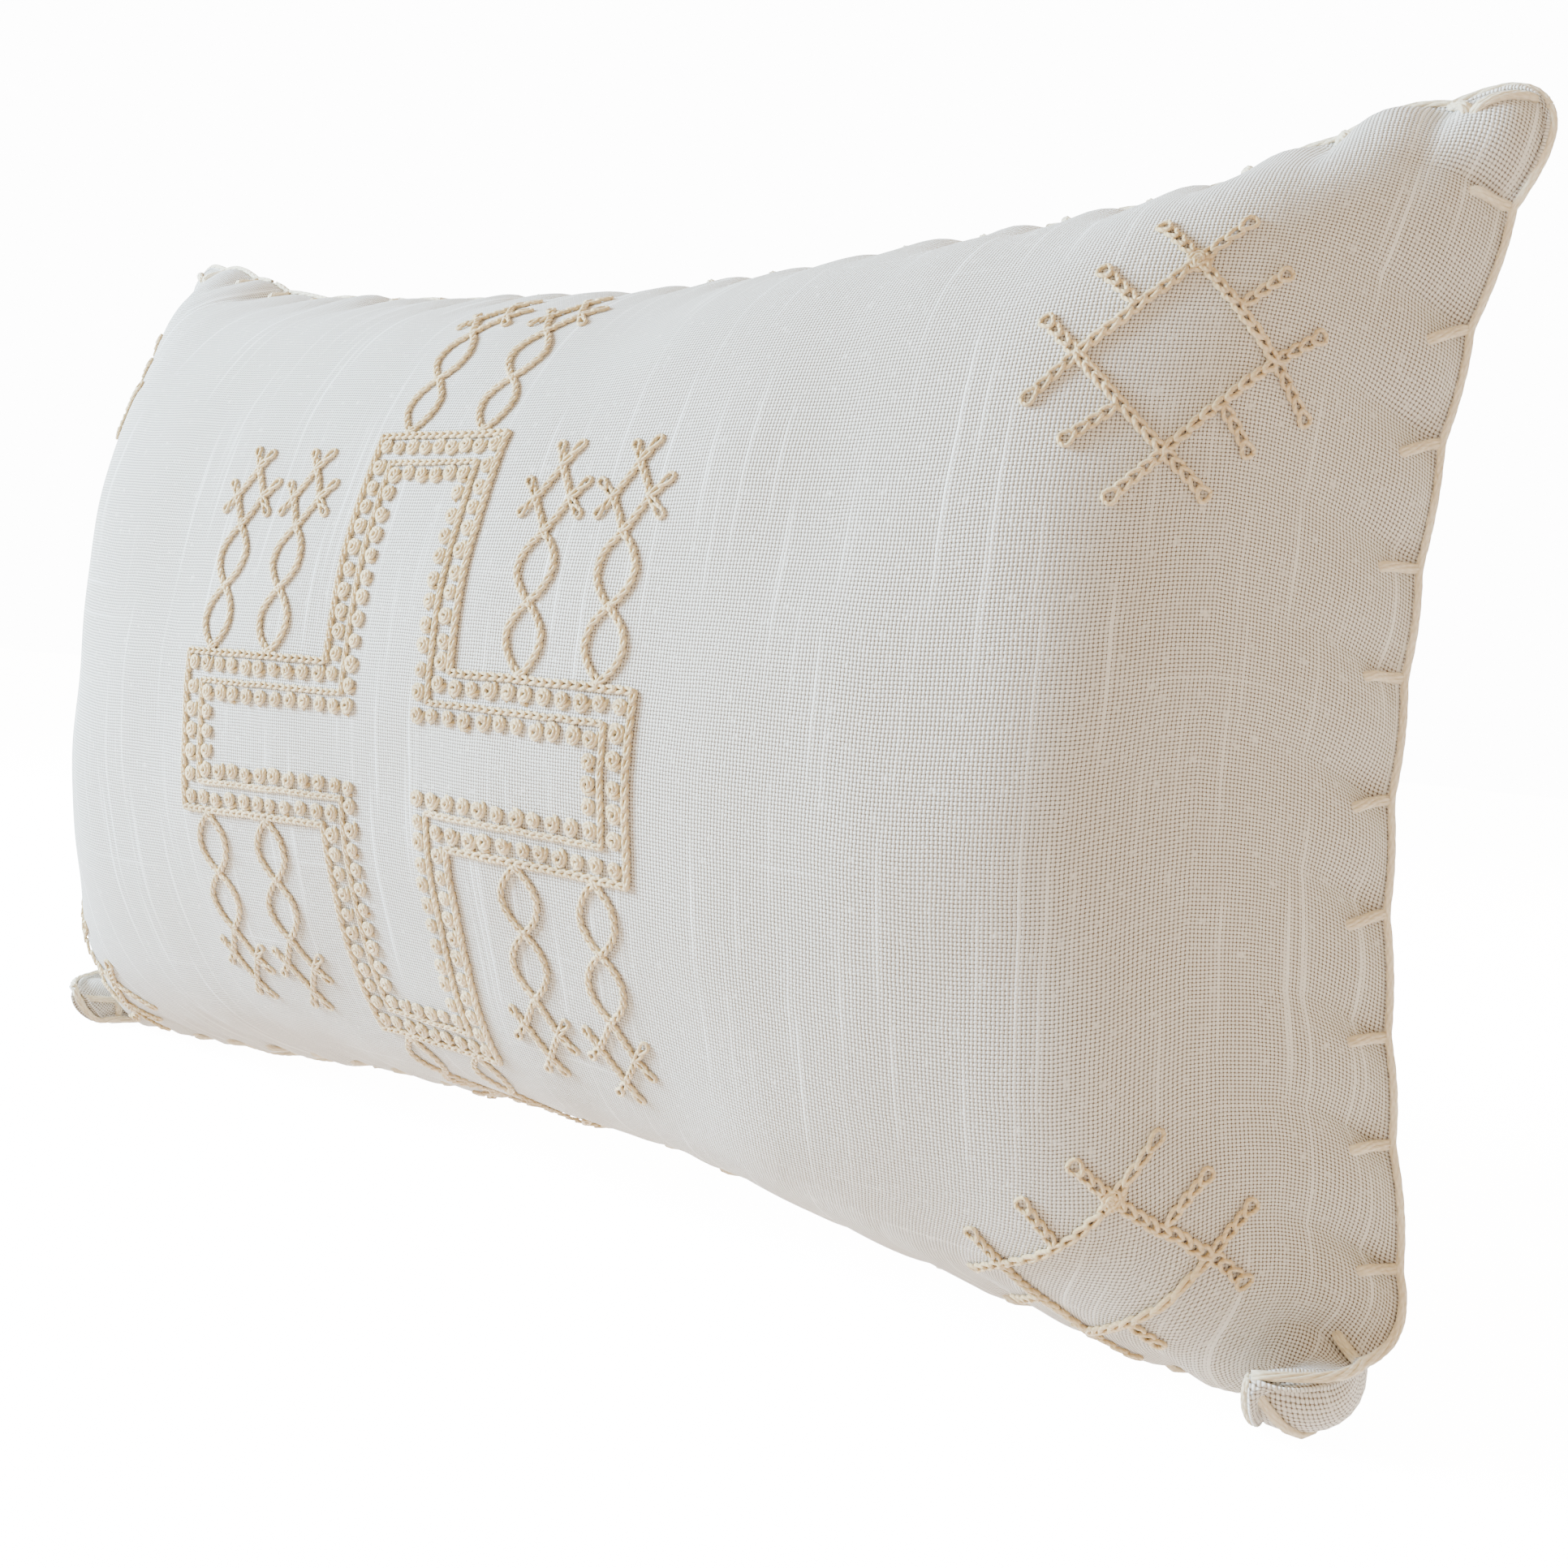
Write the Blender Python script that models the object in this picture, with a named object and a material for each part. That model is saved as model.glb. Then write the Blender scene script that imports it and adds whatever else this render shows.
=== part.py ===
"""Embroidered lumbar throw pillow, standing on its long edge.

Frame: +Z up, X along the pillow's length, the embroidered front towards -Y.
The origin is on the surface that the pillow stands on, below its centre.
Units are metres. Every sub-part is one closed solid in its own object.
"""
import math

import bmesh
import bpy
import numpy as np
from mathutils import Vector

# ---------------------------------------------------------------- driving dimensions
CORNER_WIDTH = 0.478            # from ear tip to ear tip, along X
TOTAL_HEIGHT = 0.264            # from the base to the upper ear tips
THICKNESS = 0.156               # front to back at the middle

EDGE_PULL = 0.022               # how far a long edge draws in at its middle
EDGE_PULL_POWER = 2.5
SIDE_PULL = 0.022               # the same on a short side
SIDE_PULL_POWER = 2.2
BASE_SQUASH = 0.012             # how much of the lower edge is pressed flat by the weight
EAR_LIFT = 0.014                # how far a lower ear turns up from the base
EAR_START = 0.88                # share of the half width where the ear begins

CROWN_ALONG = (5.9, 0.72)       # power pair of the fullness along X
CROWN_UP = (1.95, 0.46)         # power pair of the fullness along Z

FLAT_WIDTH = 0.508              # the cover's cut, before it is filled
FLAT_HEIGHT = 0.305

GAP = 0.0003                    # clearance between touching pieces
PANEL = 0.0012                  # cover fabric and its lining
CASING_INSET = 0.0034           # skin of the cover to skin of the inner pillow
CASING = 0.0006
LABEL_DEPTHS = (0.0023, 0.0027)  # faces of the care label, below the skin
CASING_SHRINK = 0.006           # the inner pillow stops short of the cover's seams
LABEL_ALONG = (0.30, 0.48)      # shares of the half width that the care label spans
LABEL_UP = (-0.70, -0.42)       # shares of the half height

ZIP_HALF_LENGTH = 0.130         # half of the tape
ZIP_PRESS = 0.003               # the zip's line lies this far below the free crown
BAND_HALF = 0.016               # half height of the band that the zip holds straight
BAND_FADE = 0.030               # height over which the band runs out
BAND_END = 0.005                # the band goes on this far past the tape
BAND_END_FADE = 0.035
HEM_HALF = 0.0050               # half of the slot between the two back panels
HEM_CLOSES = 0.003              # the slot starts to close this far before the tape's end
HEM_CLOSES_OVER = 0.012
COIL_HALF_LENGTH = 0.120
COIL_NEAR = 0.0007              # coil's near edge to the zip's centre line
COIL_WIDTH = 0.0022
COIL_THICK = 0.0020
COIL_SINK = 0.0008              # coil's outer face below the panel's skin
TAPE_WIDTH = 0.0095
TAPE_THICK = 0.0006
STOP_LENGTH = 0.003
STOP_PROUD = 0.0002             # a stop's faces stand proud of the coils
SLIDER_X = -0.114               # closed end of the travel
SLIDER_LENGTH = 0.009
SLIDER_WIDTH = 0.0086
PLATE = 0.0010
BRIDGE_SHARE = 0.6              # of the slider's length
LUG_INNER = 0.0029
LUG_THICK = 0.0010
LUG_HALF = 0.0020
LUG_PAST_PIN = 0.0015
OVERLAP = 0.0002                # joined blocks run into each other by this much
PIN_RADIUS = 0.0008
PIN_RISE = 0.00285              # pin's axis above the panel's skin
EYE_RADIUS = 0.0019
EYE_HOLE = 0.0011
EYE_HALF = 0.0025
TAB_LENGTH = 0.024
TAB_THICK = 0.0012
TAB_HALF = 0.0035
TAB_START = 0.0034              # from the pin to the wide part of the tab
NECK_END = 0.0040

THREAD_LIFT = 0.0004            # embroidery's underside above the front panel
THREAD_THICK = 0.0010
CROSS_HALF_LENGTH = 0.0845      # centre of the cross to a level arm's end, on the cloth
CROSS_HALF_HEIGHT = 0.0815      # centre of the cross to the upright arm's end
LEVEL_ARM_HALF = 0.0212         # half width of a level arm, to the outer chain
UPRIGHT_ARM_HALF = 0.0248
CHAIN_WIDTH = 0.0022
INNER_CHAIN_WIDTH = 0.0018
OUTER_KNOTS_IN = 0.0034         # outer chain to the row of knots inside it
INNER_CHAIN_IN = 0.0077         # outer chain to the inner chain
INNER_KNOTS_IN = 0.0110         # outer chain to the innermost row of knots
KNOT_WIDTH = 0.0042
EMBROIDERY_DROP = 0.015         # the cross's centre below the cloth's middle
OVAL_START = 0.0016             # gap between an arm's chain and an oval chain
OVAL_LENGTH = 0.0165            # one link of an oval chain
OVAL_WIDTH = 0.0125
OVAL_WIDTHS = (0.4, 1.0, 0.3, 1.0, 0.3, 1.0, 0.4)   # shares of the width along a chain
OVAL_FIRST = 0.0483             # first oval chain from the centre, along an arm
OVAL_NEXT = 0.0740              # second one
OVAL_TIP = 0.0143               # spread of the first pair at the upright arm's end
DIAMOND_X = 0.198
DIAMOND_Z = 0.093
DIAMOND_HALF = 0.0205
DIAMOND_LINE = 0.0036           # width of a diamond's sides

YARN_RADIUS = 0.0013
YARN_CLEAR = 0.0004
YARN_CLEAR_TOP = 0.0004         # more clearance where the panels' rows turn over the top
YARN_CLEAR_SIDE = 0.0002
YARN_ABOVE_BASE = 0.001

HALF_WIDTH = CORNER_WIDTH / 2
HALF_HEIGHT = (TOTAL_HEIGHT + BASE_SQUASH) / 2
MID_HEIGHT = TOTAL_HEIGHT - HALF_HEIGHT
HALF_THICKNESS = THICKNESS / 2
ZIP_SKIN = HALF_THICKNESS - ZIP_PRESS     # Y of the back panel's skin beside the zip

COLUMNS = 22                    # cells across the pillow's length
ROWS = 14                       # cells up its height
BACK_ROWS = 7                   # cells from the zip's band to a long edge
INNER_COLUMNS = 6               # of the back, along half of the zip
OUTER_COLUMNS = 5               # from the zip's end to a short side
ZIP_END_SHARE = 0.02            # width of the columns on each side of the zip's end
ZIP_OUTER_SHARE = 0.045
CASING_COLUMNS = 18
CASING_ROWS = 12
LABEL_POINTS = (5, 4)
CROSS_PARTS = 5                 # parts of each side of the cross's outline
DIAMOND_PARTS = 3
NORMAL_STEP = 0.004             # share over which the skin's slope is measured
MAP_POINTS = 61                 # along and up, in the map of the flat cloth
MAP_ROUNDS = 5
FRONT = -1
BACK = 1


# ---------------------------------------------------------------- the pillow's skin
def smooth(value):
    """0 below 0, 1 above 1 and an S-curve between."""
    value = min(max(value, 0.0), 1.0)
    return value * value * (3 - 2 * value)


def crown(share, powers):
    """Fullness from 1 at the middle (share 0) to 0 at the seam (share 1)."""
    return max(1 - abs(share) ** powers[0], 0.0) ** powers[1]


def zip_band(x, z):
    """1 on the flat band that the zip holds straight, 0 well away from it."""
    across = 1 - smooth((abs(z - MID_HEIGHT) - BAND_HALF) / BAND_FADE)
    along = 1 - smooth((abs(x) - ZIP_HALF_LENGTH - BAND_END) / BAND_END_FADE)
    return across * along


def skin(s, t, side, inset=0.0, shrink=0.0, band_drop=None):
    """Point at s, t (each -1 to 1, seam to seam) of the skin, moved in by inset."""
    draw_in = inset + shrink
    x = s * (HALF_WIDTH - draw_in - SIDE_PULL * (1 - abs(t) ** SIDE_PULL_POWER))
    reach = HALF_HEIGHT - draw_in - EDGE_PULL * (1 - abs(s) ** EDGE_PULL_POWER)
    if t < 0:
        reach -= EAR_LIFT * smooth((abs(s) - EAR_START) / (1 - EAR_START))
    z = max(MID_HEIGHT + t * reach, inset)
    depth = (HALF_THICKNESS - inset) * crown(s, CROWN_ALONG) * crown(t, CROWN_UP)
    if side == BACK:
        drop = inset if band_drop is None else band_drop
        depth += zip_band(x, z) * (ZIP_SKIN - drop - depth)
    return Vector((x, side * (depth + GAP / 2), z))


def seam_spaced(count, low=-1.0, high=1.0):
    """Shares from low to high, closer together towards the seams."""
    angles = np.linspace(math.asin(low), math.asin(high), count + 1)
    return [math.sin(angle) for angle in angles]


# ---------------------------------------------------------------- object helpers
def clear_scene():
    for old in list(bpy.data.objects):
        bpy.data.objects.remove(old, do_unlink=True)


def material(name, colour, roughness, metallic=0.0):
    mat = bpy.data.materials.new(name)
    mat.use_nodes = True
    shader = mat.node_tree.nodes["Principled BSDF"]
    shader.inputs["Base Color"].default_value = (*colour, 1.0)
    shader.inputs["Roughness"].default_value = roughness
    shader.inputs["Metallic"].default_value = metallic
    return mat


def finish_mesh(name, bm, mat, origin=None):
    """Turn bm into an object, faces out and shaded smooth; origin is its pivot."""
    bmesh.ops.recalc_face_normals(bm, faces=bm.faces)
    if bm.calc_volume(signed=True) < 0:
        bmesh.ops.reverse_faces(bm, faces=bm.faces)
    if origin is not None:
        bmesh.ops.translate(bm, verts=bm.verts, vec=-Vector(origin))
    mesh = bpy.data.meshes.new(name)
    bm.to_mesh(mesh)
    bm.free()
    mesh.shade_smooth()
    mesh.set_sharp_from_angle(angle=math.radians(35))
    obj = bpy.data.objects.new(name, mesh)
    bpy.context.scene.collection.objects.link(obj)
    if origin is not None:
        obj.location = origin
    obj.data.materials.append(mat)
    return obj


def grid_faces(bm, outer, inner):
    """Close two grids of points of the same size into one thin solid."""
    layers = [[[bm.verts.new(p) for p in row] for row in grid] for grid in (outer, inner)]
    n, m = len(outer) - 1, len(outer[0]) - 1
    for layer in layers:
        for i in range(n):
            for j in range(m):
                bm.faces.new((layer[i][j], layer[i + 1][j], layer[i + 1][j + 1], layer[i][j + 1]))
    rim = [(i, 0) for i in range(n)] + [(n, j) for j in range(m)]
    rim += [(i, m) for i in range(n, 0, -1)] + [(0, j) for j in range(m, 0, -1)]
    for (i, j), (k, l) in zip(rim, rim[1:] + rim[:1]):
        bm.faces.new((layers[0][i][j], layers[0][k][l], layers[1][k][l], layers[1][i][j]))


def box_mesh(low, high):
    bm = bmesh.new()
    bmesh.ops.create_cube(bm, size=1.0)
    low, high = Vector(low), Vector(high)
    bmesh.ops.scale(bm, verts=bm.verts, vec=high - low)
    bmesh.ops.translate(bm, verts=bm.verts, vec=(low + high) / 2)
    return bm


def rod_mesh(centre, radius, half_length, sides=16):
    """A round bar along Z."""
    bm = bmesh.new()
    bmesh.ops.create_cone(bm, cap_ends=True, segments=sides, radius1=radius, radius2=radius,
                          depth=2 * half_length)
    bmesh.ops.translate(bm, verts=bm.verts, vec=centre)
    return bm


def tool_object(name, bm, mat, origin):
    """A hidden solid that only shapes another one."""
    tool = finish_mesh(name, bm, mat, origin)
    tool.hide_render = True
    tool.display_type = "WIRE"
    return tool


def shape_with(obj, tool, operation):
    mod = obj.modifiers.new(tool.name, "BOOLEAN")
    mod.operation = operation
    mod.object = tool
    mod.solver = "EXACT"


# ---------------------------------------------------------------- cover and inner pillow
def front_panel(mat):
    shares_s, shares_t = seam_spaced(COLUMNS), seam_spaced(ROWS)
    grids = [[[skin(s, t, FRONT, inset) for t in shares_t] for s in shares_s]
             for inset in (0.0, PANEL)]
    bm = bmesh.new()
    grid_faces(bm, *grids)
    finish_mesh("front_panel", bm, mat)


def hem_share(s):
    """t of the hem beside the zip's slot; past the tape the two hems are sewn together."""
    x = abs(s) * (HALF_WIDTH - SIDE_PULL)
    reach = HALF_HEIGHT - EDGE_PULL * (1 - abs(s) ** EDGE_PULL_POWER)
    open_share = 1 - smooth((x - ZIP_HALF_LENGTH + HEM_CLOSES) / HEM_CLOSES_OVER)
    return (GAP / 2 + (HEM_HALF - GAP / 2) * open_share) / reach


def back_columns():
    """Shares across the back, with a finer run where the zip's slot closes."""
    turn = ZIP_HALF_LENGTH / (HALF_WIDTH - SIDE_PULL)
    inner = list(np.linspace(0, turn - ZIP_END_SHARE, INNER_COLUMNS))
    outer = seam_spaced(OUTER_COLUMNS, turn + ZIP_OUTER_SHARE, 1.0)
    half = inner + [turn, turn + ZIP_END_SHARE] + outer
    return [-s for s in reversed(half[1:])] + half


def back_panel(name, up, mat):
    band = BAND_HALF / (HALF_HEIGHT - EDGE_PULL)
    grids = []
    for inset in (0.0, PANEL):
        grid = []
        for s in back_columns():
            shares_t = [hem_share(s)] + seam_spaced(BACK_ROWS, band, 1.0)
            grid.append([skin(s, up * t, BACK, inset) for t in shares_t])
        grids.append(grid)
    bm = bmesh.new()
    grid_faces(bm, *grids)
    finish_mesh(name, bm, mat)


def casing_point(s, t, side, depth_in):
    """Skin of the inner pillow, which dips behind the zip's slider."""
    slider_room = COIL_SINK + COIL_THICK + 2 * GAP + PLATE
    return skin(s, t, side, CASING_INSET + depth_in, CASING_SHRINK, slider_room + GAP + depth_in)


def insert_casing(name, side, mat):
    shares_s, shares_t = seam_spaced(CASING_COLUMNS), seam_spaced(CASING_ROWS)
    grids = [[[casing_point(s, t, side, depth) for t in shares_t] for s in shares_s]
             for depth in (0.0, CASING)]
    bm = bmesh.new()
    grid_faces(bm, *grids)
    finish_mesh(name, bm, mat)


def fibre_fill(mat):
    shares_s, shares_t = seam_spaced(CASING_COLUMNS), seam_spaced(CASING_ROWS)
    grids = [[[casing_point(s, t, side, CASING + 2 * GAP) for t in shares_t] for s in shares_s]
             for side in (FRONT, BACK)]
    bm = bmesh.new()
    grid_faces(bm, *grids)
    finish_mesh("fibre_fill", bm, mat)


def care_label(mat):
    """A blank label, sewn inside the back panel near the lower edge."""
    shares_s = np.linspace(*LABEL_ALONG, LABEL_POINTS[0])
    shares_t = np.linspace(*LABEL_UP, LABEL_POINTS[1])
    grids = [[[skin(s, t, BACK, depth) for t in shares_t] for s in shares_s]
             for depth in LABEL_DEPTHS]
    bm = bmesh.new()
    grid_faces(bm, *grids)
    finish_mesh("care_label", bm, mat)


# ---------------------------------------------------------------- zip
def zip_tape(name, up, mat):
    near = COIL_NEAR + COIL_WIDTH + GAP
    zs = sorted((MID_HEIGHT + up * near, MID_HEIGHT + up * (near + TAPE_WIDTH)))
    skin_y = ZIP_SKIN - PANEL - GAP
    low = (-ZIP_HALF_LENGTH, skin_y - TAPE_THICK, zs[0])
    high = (ZIP_HALF_LENGTH, skin_y, zs[1])
    finish_mesh(name, box_mesh(low, high), mat)


def zip_coil(name, up, mat):
    """The outer shape of one row of teeth: a bar with an eight-sided section."""
    centre = Vector((0, ZIP_SKIN - COIL_SINK - COIL_THICK / 2,
                     MID_HEIGHT + up * (COIL_NEAR + COIL_WIDTH / 2)))
    bm = bmesh.new()
    rings = []
    for x in (-COIL_HALF_LENGTH, COIL_HALF_LENGTH):
        ring = []
        for k in range(8):
            angle = math.radians(45 * k + 22.5)
            scale = 1 / math.cos(math.radians(22.5))
            offset = Vector((x, COIL_THICK / 2 * scale * math.cos(angle),
                             COIL_WIDTH / 2 * scale * math.sin(angle)))
            ring.append(bm.verts.new(centre + offset))
        rings.append(ring)
    for k in range(8):
        bm.faces.new((rings[0][k], rings[0][k - 1], rings[1][k - 1], rings[1][k]))
    bm.faces.new(rings[0])
    bm.faces.new(rings[1][::-1])
    finish_mesh(name, bm, mat)


def zip_stop(name, end, mat):
    half = COIL_NEAR + COIL_WIDTH
    near = COIL_HALF_LENGTH + GAP
    xs = sorted((end * near, end * (near + STOP_LENGTH)))
    top = ZIP_SKIN - COIL_SINK + STOP_PROUD
    low = (xs[0], top - COIL_THICK - 2 * STOP_PROUD, MID_HEIGHT - half)
    high = (xs[1], top, MID_HEIGHT + half)
    finish_mesh(name, box_mesh(low, high), mat)


def zip_slider(mat):
    """Two plates joined by a bridge between the coils, with two lugs and a pin on top."""
    pivot = Vector((SLIDER_X, ZIP_SKIN + PIN_RISE, MID_HEIGHT))
    half_x, half_z = SLIDER_LENGTH / 2, SLIDER_WIDTH / 2
    front_y = ZIP_SKIN - COIL_SINK + GAP
    back_y = ZIP_SKIN - COIL_SINK - COIL_THICK - GAP

    def block(x, y_low, y_high, z_low, z_high):
        low = (SLIDER_X - x, y_low, MID_HEIGHT + z_low)
        return box_mesh(low, (SLIDER_X + x, y_high, MID_HEIGHT + z_high))

    slider = finish_mesh("zipper_slider", block(half_x, front_y, front_y + PLATE, -half_z, half_z),
                         mat, pivot)
    bridge_half = COIL_NEAR - GAP
    joined = {
        "slider_back_plate": block(half_x, back_y - PLATE, back_y, -half_z, half_z),
        "slider_bridge": block(half_x * BRIDGE_SHARE, back_y - OVERLAP, front_y + OVERLAP,
                               -bridge_half, bridge_half),
        "slider_lug_upper": block(LUG_HALF, front_y + PLATE - OVERLAP, pivot.y + LUG_PAST_PIN,
                                  LUG_INNER, LUG_INNER + LUG_THICK),
        "slider_lug_lower": block(LUG_HALF, front_y + PLATE - OVERLAP, pivot.y + LUG_PAST_PIN,
                                  -LUG_INNER - LUG_THICK, -LUG_INNER),
        "slider_pin": rod_mesh(pivot, PIN_RADIUS, LUG_INNER + LUG_THICK / 2, 12),
    }
    for name, bm in joined.items():
        shape_with(slider, tool_object(name, bm, mat, pivot), "UNION")


def zipper_pull_tab(mat):
    """A flat tab whose eye turns on the slider's pin; it lies along the zip at rest."""
    pivot = Vector((SLIDER_X, ZIP_SKIN + PIN_RISE, MID_HEIGHT))
    half_thick = TAB_THICK / 2

    def block(x_low, x_high, half_z):
        low = pivot + Vector((x_low, -half_thick, -half_z))
        return box_mesh(low, pivot + Vector((x_high, half_thick, half_z)))

    tab = finish_mesh("zipper_pull_tab", block(TAB_START, TAB_LENGTH, TAB_HALF), mat, pivot)
    neck = tool_object("tab_neck", block(0.0, NECK_END, EYE_HALF - OVERLAP), mat, pivot)
    eye = tool_object("tab_eye", rod_mesh(pivot, EYE_RADIUS, EYE_HALF, 20), mat, pivot)
    hole = tool_object("tab_hole", rod_mesh(pivot, EYE_HOLE, EYE_HALF * 2, 16), mat, pivot)
    shape_with(tab, neck, "UNION")
    shape_with(tab, eye, "UNION")
    shape_with(tab, hole, "DIFFERENCE")


# ---------------------------------------------------------------- edge yarn
def tube(name, points, radius, mat, sides=6):
    """A bar of round section through points, with flat ends."""
    bm = bmesh.new()
    rings = []
    for k, point in enumerate(points):
        ahead = points[min(k + 1, len(points) - 1)] - points[max(k - 1, 0)]
        ahead.normalize()
        across = Vector((0, 1, 0))
        up = ahead.cross(across).normalized()
        ring = []
        for n in range(sides):
            angle = 2 * math.pi * n / sides
            ring.append(bm.verts.new(point + radius * (math.cos(angle) * across
                                                       + math.sin(angle) * up)))
        rings.append(ring)
    for low, high in zip(rings, rings[1:]):
        for n in range(sides):
            bm.faces.new((low[n - 1], low[n], high[n], high[n - 1]))
    bm.faces.new(rings[0])
    bm.faces.new(rings[-1][::-1])
    finish_mesh(name, bm, mat)


def seam_point(s, t):
    point = skin(s, t, FRONT)
    point.y = 0
    return point


def edge_yarns(mat):
    """The line of the blanket stitch along each of the four seams."""
    away = YARN_RADIUS + YARN_CLEAR
    top = [seam_point(s, 1) + Vector((0, 0, away + YARN_CLEAR_TOP))
           for s in seam_spaced(COLUMNS)[1:-1]]
    tube("edge_yarn_top", top, YARN_RADIUS, mat)
    low_limit = YARN_RADIUS + away + YARN_ABOVE_BASE
    bottom = [seam_point(s, -1) - Vector((0, 0, away)) for s in seam_spaced(COLUMNS)]
    tube("edge_yarn_bottom", [p for p in bottom if p.z > low_limit], YARN_RADIUS, mat)
    for name, end in (("edge_yarn_left", -1), ("edge_yarn_right", 1)):
        side = [seam_point(end, t) + Vector((end * (away + YARN_CLEAR_SIDE), 0, 0))
                for t in seam_spaced(ROWS)[1:-1]]
        tube(name, side, YARN_RADIUS, mat)


# ---------------------------------------------------------------- embroidery
class ClothMap:
    """Finds the place on the front panel of a point measured on the flat cloth.

    Each row and column of the filled panel is as long as the cloth that it is made of.
    """

    def __init__(self):
        self.shares = np.array(seam_spaced(MAP_POINTS - 1))
        points = np.array([[skin(s, t, FRONT) for t in self.shares] for s in self.shares])
        self.u = self.flat_places(points, FLAT_WIDTH)
        self.v = self.flat_places(points.transpose(1, 0, 2), FLAT_HEIGHT).T

    @staticmethod
    def flat_places(points, flat):
        """Flat places along the first axis of a grid of points, from its middle."""
        steps = np.linalg.norm(np.diff(points, axis=0), axis=-1)
        total = np.insert(np.cumsum(steps, axis=0), 0, 0.0, axis=0)
        return (total / total[-1] - 0.5) * flat

    def line(self, table, share):
        """The table's row at a share."""
        place = np.interp(share, self.shares, np.arange(MAP_POINTS))
        row = min(int(place), MAP_POINTS - 2)
        part = place - row
        return table[row] * (1 - part) + table[row + 1] * part

    def share(self, u, v):
        s, t = 2 * u / FLAT_WIDTH, 2 * v / FLAT_HEIGHT
        for _ in range(MAP_ROUNDS):
            t = np.interp(v, self.line(self.v, s), self.shares)
            s = np.interp(u, self.line(self.u.T, t), self.shares)
        return s, t

    def place(self, u, v, lift):
        """Point at lift above the cloth, along its normal."""
        s, t = self.share(u, v - EMBROIDERY_DROP)
        step = NORMAL_STEP
        point = skin(s, t, FRONT)
        along = skin(s + step, t, FRONT) - skin(s - step, t, FRONT)
        up = skin(s, t + step, FRONT) - skin(s, t - step, FRONT)
        return point + along.cross(up).normalized() * lift


def ribbon(name, outline_out, outline_in, cloth, mat, closed=True):
    """A raised strip between two outlines of the same number of points on the cloth."""
    bm = bmesh.new()
    rings = []
    for (u0, v0), (u1, v1) in zip(outline_out, outline_in):
        low, high = THREAD_LIFT, THREAD_LIFT + THREAD_THICK
        corners = (cloth.place(u0, v0, low), cloth.place(u0, v0, high),
                   cloth.place(u1, v1, high), cloth.place(u1, v1, low))
        rings.append([bm.verts.new(p) for p in corners])
    pairs = list(zip(rings, rings[1:]))
    if closed:
        pairs.append((rings[-1], rings[0]))
    for here, there in pairs:
        for k in range(4):
            bm.faces.new((here[k - 1], here[k], there[k], there[k - 1]))
    if not closed:
        bm.faces.new(rings[0])
        bm.faces.new(rings[-1][::-1])
    finish_mesh(name, bm, mat)


def cross_outline(inward):
    """The cross's outline, moved inward, as corners in order."""
    end, top = CROSS_HALF_LENGTH - inward, CROSS_HALF_HEIGHT - inward
    across, above = UPRIGHT_ARM_HALF - inward, LEVEL_ARM_HALF - inward
    return [(across, above), (across, top), (-across, top), (-across, above),
            (-end, above), (-end, -above), (-across, -above), (-across, -top),
            (across, -top), (across, -above), (end, -above), (end, above)]


def divide(corners, count):
    """Split each side of a closed outline into count parts."""
    points = []
    for here, there in zip(corners, corners[1:] + corners[:1]):
        for k in range(count):
            share = k / count
            points.append((here[0] + (there[0] - here[0]) * share,
                           here[1] + (there[1] - here[1]) * share))
    return points


def cross_bands(cloth, mat):
    bands = {
        "cross_outer_chain": (0.0, CHAIN_WIDTH),
        "cross_outer_knots": (OUTER_KNOTS_IN, KNOT_WIDTH),
        "cross_inner_chain": (INNER_CHAIN_IN, INNER_CHAIN_WIDTH),
        "cross_inner_knots": (INNER_KNOTS_IN, KNOT_WIDTH),
    }
    for name, (inward, width) in bands.items():
        out = divide(cross_outline(inward - width / 2), CROSS_PARTS)
        inside = divide(cross_outline(inward + width / 2), CROSS_PARTS)
        ribbon(name, out, inside, cloth, mat)


def oval_chain(name, base, direction, cloth, mat):
    """One chain of two linked ovals and a spurred tip, as a strip of its outer width."""
    across = (-direction[1], direction[0])
    left, right = [], []
    for k, width in enumerate(OVAL_WIDTHS):
        run = OVAL_START + 3 * OVAL_LENGTH * k / (len(OVAL_WIDTHS) - 1)
        half = OVAL_WIDTH / 2 * width
        middle = (base[0] + direction[0] * run, base[1] + direction[1] * run)
        left.append((middle[0] - across[0] * half, middle[1] - across[1] * half))
        right.append((middle[0] + across[0] * half, middle[1] + across[1] * half))
    ribbon(name, left, right, cloth, mat, closed=False)


def oval_chains(cloth, mat):
    """Two chains above and below each level arm, and two from each end of the upright arm."""
    for up, level in ((1, "upper"), (-1, "lower")):
        for side, hand in ((-1, "left"), (1, "right")):
            for count, place in enumerate((OVAL_FIRST, OVAL_NEXT), start=1):
                base = (side * place, up * LEVEL_ARM_HALF)
                oval_chain(f"oval_chain_{level}_{hand}_{count}", base, (0, up), cloth, mat)
            base = (side * OVAL_TIP, up * CROSS_HALF_HEIGHT)
            oval_chain(f"oval_chain_{level}_middle_{hand}", base, (0, up), cloth, mat)


def corner_diamonds(cloth, mat):
    for up, level in ((1, "upper"), (-1, "lower")):
        for side, hand in ((-1, "left"), (1, "right")):
            outlines = []
            for half in (DIAMOND_HALF + DIAMOND_LINE / 2, DIAMOND_HALF - DIAMOND_LINE / 2):
                corners = [(side * DIAMOND_X + du, up * DIAMOND_Z + dv)
                           for du, dv in ((half, 0), (0, half), (-half, 0), (0, -half))]
                outlines.append(divide(corners, DIAMOND_PARTS))
            ribbon(f"corner_diamond_{level}_{hand}", *outlines, cloth, mat)


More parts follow.
